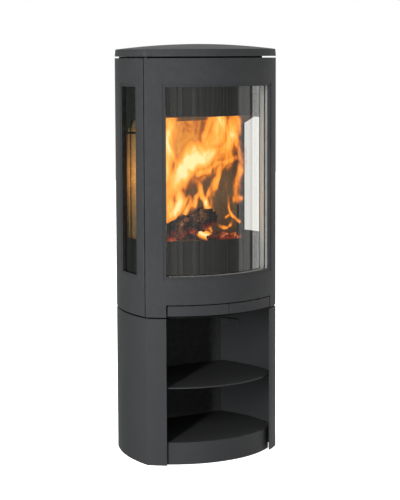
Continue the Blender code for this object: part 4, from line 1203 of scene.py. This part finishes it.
def split_log(name, radius, length, place, turn, node, seed, glow_side):
    """A burning log: bark and splits pushed in and out by noise, breaking into scales."""
    around, along = 56, 150
    scales_along, scales_around = 58, 1.9
    flat = -0.58
    solid = bmesh.new()
    rings = []
    for i in range(along + 1):
        share = i / along
        ring = []
        for j in range(around):
            angle = 2 * math.pi * j / around
            # The log's section: a little flat, with a split face below.
            y = math.cos(angle)
            z = math.sin(angle) * 0.86
            if z < flat:
                y *= 0.55 + 0.45 * (1 - (flat - z))
                z = flat + (z - flat) * 0.15
            here = Vector((share * length * 30, y * 2.2 + seed, z * 2.2))
            wander = noise.noise(here * 0.8)
            # Rows and staggered columns of burnt scales, parted by grooves.
            row = share * length * scales_along + wander * 0.7
            column = angle * scales_around + wander * 0.5 + 0.5 * (math.floor(row) % 2)
            inside = min(row % 1.0, 1 - row % 1.0, 0.9 * (column % 1.0), 0.9 * (1 - column % 1.0))
            gap = min(1.0, inside * 4.5)
            jump = noise.cell(Vector((math.floor(row) + 0.5, math.floor(column) + 0.5, seed))) - 0.5
            rough = noise.fractal(here, 0.9, 2.0, 5) * 0.15 + jump * 0.13
            # Slightly narrower and uneven towards both ends.
            end = min(share, 1 - share)
            taper = 1 - 0.10 * max(0.0, 1 - end / 0.04) ** 2
            reach = radius * taper * (0.93 + rough - 0.17 * (1 - gap) ** 2)
            x = (share - 0.5) * length
            if end < 1e-9:
                x += noise.noise(here * 2.0) * 0.004
            ring.append(solid.verts.new((x, y * reach, z * reach)))
        rings.append(ring)
    for ring, after in zip(rings, rings[1:]):
        for j in range(around):
            k = (j + 1) % around
            solid.faces.new((ring[j], ring[k], after[k], after[j]))
    for ring in (rings[0], rings[-1]):
        middle = sum((vertex.co for vertex in ring), Vector()) / around
        hub = solid.verts.new(middle)
        for j in range(around):
            solid.faces.new((ring[j], ring[(j + 1) % around], hub))
    bmesh.ops.recalc_face_normals(solid, faces=solid.faces)
    turned = [math.radians(angle) for angle in turn]
    matrix = Matrix.Translation(place) @ (
        Matrix.Rotation(turned[2], 4, "Z") @ Matrix.Rotation(turned[1], 4, "Y")
        @ Matrix.Rotation(turned[0], 4, "X")
    )
    solid.transform(matrix)
    mesh = bpy.data.meshes.new(name)
    solid.to_mesh(mesh)
    solid.free()
    log = link(name, mesh)
    glow = mesh.attributes.new("glow", "FLOAT", "POINT")
    below = Vector(glow_side).normalized()
    centre = Vector(place)
    for vertex in mesh.vertices:
        side = (vertex.co - centre).dot(below) / radius
        glow.data[vertex.index].value = max(0.0, min(1.0, 1.25 * side - 0.10))
    dress(log, "stove", CHAR, "charred_wood", node, smooth=61)


# Each tongue of flame: its half width in mm, then (x mm, height mm, heat) from foot to tip.
FRONT_TONGUES = [
    (21, [(-130, 770, 0.75), (-123, 845, 1.0), (-118, 913, 1.0), (-107, 966, 0.85),
          (-111, 1000, 0.7)]),
    (30, [(-119, 785, 0.8), (-90, 821, 1.0), (-55, 862, 1.1), (-15, 879, 1.05), (30, 889, 0.85),
          (71, 891, 0.6)]),
    (26, [(-72, 866, 0.8), (-28, 895, 0.85), (17, 909, 0.75), (53, 946, 0.8), (62, 980, 0.9),
          (53, 996, 0.8)]),
    (14, [(3, 894, 0.7), (5, 936, 0.68), (15, 966, 0.66), (26, 993, 0.6)]),
    (20, [(62, 892, 0.7), (93, 921, 0.8), (107, 940, 0.95), (103, 964, 0.75), (107, 990, 0.6)]),
    (14, [(116, 753, 0.5), (121, 796, 0.55), (132, 834, 0.55), (138, 865, 0.55), (131, 904, 0.6),
          (116, 936, 0.55)]),
    (10, [(-15, 833, 0.7), (16, 843, 0.75), (52, 861, 0.7), (89, 867, 0.6), (125, 878, 0.5)]),
    (12, [(30, 770, 0.45), (41, 804, 0.7), (57, 834, 0.75), (71, 857, 0.6)]),
    (10, [(27, 716, 0.85), (16, 739, 0.9), (3, 763, 0.85), (-6, 787, 0.7), (-15, 810, 0.55),
          (-33, 822, 0.4)]),
    (10, [(-33, 742, 0.6), (-24, 765, 0.65), (-11, 775, 0.6), (-6, 791, 0.5)]),
    (20, [(-117, 712, 0.75), (-113, 746, 0.8), (-117, 777, 0.7), (-104, 799, 0.7)]),
    (18, [(-108, 716, 0.9), (-82, 737, 1.0), (-73, 756, 0.95), (-82, 771, 0.8)]),
    (12, [(-56, 724, 0.8), (-42, 743, 0.7), (-51, 766, 0.5)]),
    (6, [(132, 682, 0.6), (107, 703, 0.7), (93, 728, 0.7), (89, 751, 0.5), (79, 787, 0.35),
         (89, 813, 0.3)]),
    (6, [(82, 703, 0.7), (95, 706, 0.6)]),
    (6, [(52, 681, 0.4), (66, 671, 0.5), (84, 666, 0.6), (100, 673, 0.6), (102, 684, 0.4)]),
    (6, [(30, 770, 0.4), (34, 746, 0.45), (34, 723, 0.4)]),
    (10, [(-20, 672, 0.9), (2, 655, 1.0), (25, 638, 0.95), (38, 630, 0.8)]),
    (6, [(16, 678, 0.6), (34, 649, 0.7), (47, 631, 0.7)]),
    (8, [(111, 754, 0.5), (130, 757, 0.5)]),
]
BACK_TONGUES = [
    (46, [(-150, 700, 0.45), (-150, 800, 0.58), (-140, 900, 0.60), (-130, 985, 0.56)]),
    (50, [(-110, 860, 0.50), (-85, 930, 0.60), (-60, 990, 0.56)]),
    (50, [(-45, 890, 0.48), (-12, 940, 0.58), (0, 995, 0.54)]),
    (46, [(25, 900, 0.48), (50, 940, 0.56), (72, 992, 0.52)]),
    (28, [(95, 850, 0.36), (108, 900, 0.48), (104, 945, 0.50), (95, 985, 0.46)]),
    (36, [(-120, 720, 0.52), (-90, 790, 0.55), (-40, 835, 0.52), (10, 855, 0.48), (60, 872, 0.42)]),
    (18, [(-170, 690, 0.55), (-172, 740, 0.6), (-165, 790, 0.5)]),
]


def heat_at(x, z, tongues):
    """How hot the sheet is at a point, from the nearest stretch of each tongue."""
    most = 0.0
    fading, edge = 0.55, 2.2
    for width, spine in tongues:
        for (ax, az, a), (bx, bz, b) in zip(spine, spine[1:]):
            dx, dz = bx - ax, bz - az
            share = ((x - ax) * dx + (z - az) * dz) / (dx * dx + dz * dz)
            share = max(0.0, min(1.0, share))
            off = math.hypot(x - ax - dx * share, z - az - dz * share) / width
            most = max(most, (a + (b - a) * share) * math.exp(-fading * off**edge))
    return most


def fire_sheet(name, distance, tongues, material, seed, low, high):
    """A wavering sheet of fire across the firebox, carrying its heat as an attribute; its places
    are worked out in millimetres."""
    across, up = 150, 170
    half = 166.0
    coolest = 0.03
    points = []
    heats = []
    for j in range(up + 1):
        z = low + (high - low) * j / up
        for i in range(across + 1):
            x = -half + 2 * half * i / across
            here = Vector((x * 0.022, seed, z * 0.013))
            sway = noise.noise(here) * 9.0 + noise.noise(here * 2.7) * 4.0
            rise = noise.noise(here + Vector((31.0, 0.0, 7.0))) * 8.0
            heats.append(heat_at(x + sway, z + rise, tongues))
            depth = 0.010 * noise.noise(Vector((x * 0.012, seed + 9.0, z * 0.010)))
            points.append((x / 1000, CREASE_Y + distance + depth, z / 1000))
    faces = []
    row = across + 1
    for j in range(up):
        for i in range(across):
            a = j * row + i
            if max(heats[a], heats[a + 1], heats[a + row], heats[a + row + 1]) > coolest:
                faces.append((a, a + 1, a + row + 1, a + row))
    mesh = bpy.data.meshes.new(name)
    mesh.from_pydata(points, [], faces)
    heat = mesh.attributes.new("fire_heat", "FLOAT", "POINT")
    heat.data.foreach_set("value", heats)
    solid = bmesh.new()
    solid.from_mesh(mesh)
    loose = [vertex for vertex in solid.verts if not vertex.link_faces]
    bmesh.ops.delete(solid, geom=loose, context="VERTS")
    solid.to_mesh(mesh)
    solid.free()
    dress(link(name, mesh), "stove", material, "charred_wood", smooth=180)


def fire():
    split_log(
        "burning_log_low", radius=0.026, length=0.150,
        place=(0.040, CREASE_Y + 0.050, HEARTH_TOP + 0.0190), turn=(0, 0, -46),
        node="log_lower", seed=4.0, glow_side=(0.0, -0.2, 1.0),
    )
    split_log(
        "burning_log_top", radius=0.043, length=0.200,
        place=(-0.057, CREASE_Y + 0.060, HEARTH_TOP + 0.0600), turn=(3, -15, 8),
        node="log_upper", seed=9.0, glow_side=(0.15, -0.2, -1.0),
    )
    fire_sheet("flames_back", 0.085, BACK_TONGUES, FLAME_BACK, seed=5.0, low=628.0, high=992.0)
    fire_sheet("flames_front", 0.055, FRONT_TONGUES, FLAME_FRONT, seed=2.0, low=628.0, high=1000.0)


# ---- The CAD's own solids that stay in sight -----------------------------------------------
CARRIED = {
    PAINT: ("pedestal_back_panel", "back_panel", "shelf_bracket_left", "shelf_bracket_right",
            "upper_lug_left", "upper_lug_right"),
    DARK: ("pedestal_top_plate", "joint_ring", "foot_front_left", "foot_front_right",
           "foot_back_left", "foot_back_right", "window_surround_left", "window_surround_right",
           "glass_retainer_left", "glass_retainer_right", "base_plate", "cover_plate", "neck_ring",
           "lower_hinge_bracket", "upper_hinge_bracket", "firebox_side_left", "firebox_side_right",
           "firebox_back", "ash_chamber", "ash_shelf", "ash_pan", "air_seat"),
    BARE: ("lower_hinge_pin", "upper_hinge_pin", "air_plate", "air_rod", "latch_arm",
           "latch_shaft", "striker"),
    BRICK: ("hearth", "back_brick", "baffle"),
    IRON: ("grate",),
}


def carry_over():
    for material, names in CARRIED.items():
        for name in names:
            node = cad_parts[name]
            node.data.materials.clear()
            node.data.materials.append(material)


# ---- Studio --------------------------------------------------------------------------------
FIRE_LIGHTS = (
    # name, place, power in watts, size
    ("fire_left", (-0.150, CREASE_Y + 0.095, 0.830), 1.5, 0.04),
    ("fire_middle", (-0.010, CREASE_Y + 0.080, 0.900), 0.35, 0.05),
    ("fire_low", (-0.060, CREASE_Y + 0.020, 0.700), 0.12, 0.03),
    ("fire_right", (0.105, CREASE_Y + 0.030, 0.720), 0.30, 0.03),
)
FIRE_COLOUR = 1.0, 0.46, 0.13
# What gloss mirrors all round: heading in degrees from the front, and brightness.
MIRRORED_BOXES = (
    (-180, 0.04), (-110, 0.05), (-78, 0.20), (-62, 0.50), (-30, 0.52), (-24, 0.50), (-23, 0.62),
    (-21, 0.62), (-20, 0.46), (-8, 0.46), (-7, 0.60), (-5, 0.60), (-4, 0.42), (12, 0.36),
    (30, 0.28), (44, 0.24), (50, 0.30), (52, 0.88), (69.5, 0.80), (70.5, 0.12), (73.5, 0.12),
    (74.5, 1.65), (88, 1.50), (89, 0.50), (91, 0.50), (92, 1.15), (104, 1.05), (108, 0.85),
    (124, 0.85), (128, 0.86), (180, 0.86),
)
CAMERA_PLACE = -2.372, -3.9615, 1.1839
CAMERA_TURN = 0.5341
CAMERA_PITCH = 0.10
CAMERA_ROLL = -0.0045
LENS = 112.43
LENS_SHIFT = 0.0280, -0.0793


def floor_paint(name, level, roughness, emission):
    made, _, shader, _ = new_material(name)
    shader.inputs["Base Color"].default_value = (level, level, level, 1.0)
    shader.inputs["Roughness"].default_value = roughness
    shader.inputs["Specular IOR Level"].default_value = 0.1
    shader.inputs["Emission Color"].default_value = (level, level, level, 1.0)
    shader.inputs["Emission Strength"].default_value = emission
    return made


def area_light(name, place, target, size, power):
    """A soft box that lights matt faces and is itself mirrored in nothing."""
    lamp = bpy.data.lights.new(name, "AREA")
    lamp.shape = "RECTANGLE"
    lamp.size, lamp.size_y = size
    lamp.energy = power
    made = link(name, lamp)
    made.location = place
    made.rotation_euler = (Vector(target) - Vector(place)).to_track_quat("-Z", "Y").to_euler()
    hide_shape(made)


def hide_shape(lamp):
    lamp.visible_camera = False
    lamp.visible_glossy = False
    lamp.visible_transmission = False


def studio_world():
    """A white room. Glass mirrors a darker one, with upright soft boxes at the right."""
    world = bpy.data.worlds.new("studio")
    world.use_nodes = True
    tree = world.node_tree
    back = tree.nodes["Background"]
    place = add_node(tree, "ShaderNodeTexCoord")
    parts = add_node(tree, "ShaderNodeSeparateXYZ")
    wire(tree, place.outputs["Generated"], parts.inputs[0])
    front = math_node(tree, "MULTIPLY", parts.outputs["Y"], -1.0)
    heading = math_node(tree, "DEGREES", math_node(tree, "ARCTAN2", parts.outputs["X"], front))
    share = add_node(tree, "ShaderNodeMapRange")
    wire(tree, heading, share.inputs["Value"])
    share.inputs["From Min"].default_value = -180.0
    share.inputs["From Max"].default_value = 180.0
    boxes = add_node(tree, "ShaderNodeValToRGB")
    wire(tree, share.outputs["Result"], boxes.inputs["Fac"])
    stops = boxes.color_ramp.elements
    while len(stops) > 1:
        stops.remove(stops[-1])
    for i, (angle, level) in enumerate(MIRRORED_BOXES):
        stop = stops[0] if i == 0 else stops.new((angle + 180) / 360)
        stop.position = (angle + 180) / 360
        green = 1.25 if angle < -70 else 1.0
        stop.color = (level, level * green, level * 0.985, 1.0)
    # Uneven upright bands across the mirrored boxes, which fade out behind the stove at the right.
    slats = add_node(tree, "ShaderNodeTexNoise", noise_dimensions="1D")
    wire(tree, math_node(tree, "MULTIPLY", heading, 0.45), slats.inputs["W"])
    slats.inputs["Scale"].default_value = 1.0
    slats.inputs["Detail"].default_value = 4.0
    slats.inputs["Roughness"].default_value = 0.7
    uneven = remap(tree, slats.outputs["Fac"], 0.30, 0.70, 0.62, 1.38)
    behind = remap(tree, heading, 118.0, 126.0)
    streaks = blend_colours(tree, behind, uneven, (1.0, 1.0, 1.0))
    mirrored_room = blend_colours(tree, 1.0, boxes.outputs["Color"], streaks, "MULTIPLY")
    # Gloss sees the mirrored room, and so do rays that have passed through a pane.
    ray = add_node(tree, "ShaderNodeLightPath")
    seen = ray.outputs["Is Glossy Ray"], ray.outputs["Is Reflection Ray"]
    reflected = math_node(tree, "MULTIPLY", *seen)
    mirrored_share = math_node(tree, "MAXIMUM", reflected, ray.outputs["Is Transmission Ray"])
    # What lights matt faces: brighter from the left and from behind, and dimmer from below.
    sideways = remap(tree, heading, -50.0, 45.0, 1.20, 0.38)
    wrapped = remap(tree, heading, 70.0, 130.0, 0.0, 0.45)
    upward = remap(tree, parts.outputs["Z"], -0.35, 0.10, 0.56, 1.0)
    flank = remap(tree, heading, -60.0, -110.0, 0.0, 1.05)
    around = math_node(tree, "ADD", math_node(tree, "ADD", sideways, wrapped), flank)
    room = math_node(tree, "MULTIPLY", around, upward)
    # The camera sees plain white.
    other = remap(tree, ray.outputs["Is Camera Ray"], 0.0, 1.0, room, 1.0)
    wire(tree, blend_colours(tree, mirrored_share, other, mirrored_room), back.inputs["Color"])
    back.inputs["Strength"].default_value = 1.0
    return world


def studio():
    floor_mesh = bpy.data.meshes.new("floor")
    floor_mesh.from_pydata([(-9, -9, 0), (9, -9, 0), (9, 9, 0), (-9, 9, 0)], [], [(0, 1, 2, 3)])
    floor = link("floor", floor_mesh)
    floor_mesh.materials.append(floor_paint("pale_floor", level=0.92, roughness=0.7, emission=0.7))
    floor.visible_glossy = False
    floor.visible_diffuse = False
    floor.visible_transmission = False
    bpy.context.scene.world = studio_world()
    area_light("key_left", place=(-2.46, -2.05, 1.05), target=(0, 0, 0.60), size=(0.22, 2.0),
               power=198.0)
    area_light("top", place=(0.2, 0.4, 3.0), target=(0, 0, 1.0), size=(2.0, 2.0), power=55.0)
    for name, place, power, size in FIRE_LIGHTS:
        lamp = bpy.data.lights.new(name, "POINT")
        lamp.energy = power
        lamp.color = FIRE_COLOUR
        lamp.shadow_soft_size = size
        glow = link(name, lamp)
        glow.location = place
        hide_shape(glow)


def camera():
    data = bpy.data.cameras.new("camera")
    data.lens = LENS
    data.shift_x, data.shift_y = LENS_SHIFT
    data.clip_end = 60.0
    made = link("camera", data)
    turn, pitch, roll = CAMERA_TURN, CAMERA_PITCH, CAMERA_ROLL
    level = math.cos(pitch)
    look = Vector((math.sin(turn) * level, math.cos(turn) * level, -math.sin(pitch)))
    right = Vector((math.cos(turn), -math.sin(turn), 0.0))
    up = right.cross(look)
    tilted = right * math.cos(roll) + up * math.sin(roll)
    upright = up * math.cos(roll) - right * math.sin(roll)
    axes = Matrix((tilted, upright, -look)).transposed().to_4x4()
    made.matrix_world = Matrix.Translation(CAMERA_PLACE) @ axes
    bpy.context.scene.camera = made
    bpy.context.scene.view_settings.view_transform = "Standard"


pedestal()
body()
back_fixings()
door()
strips()
firebox()
fire()
carry_over()
studio()
camera()
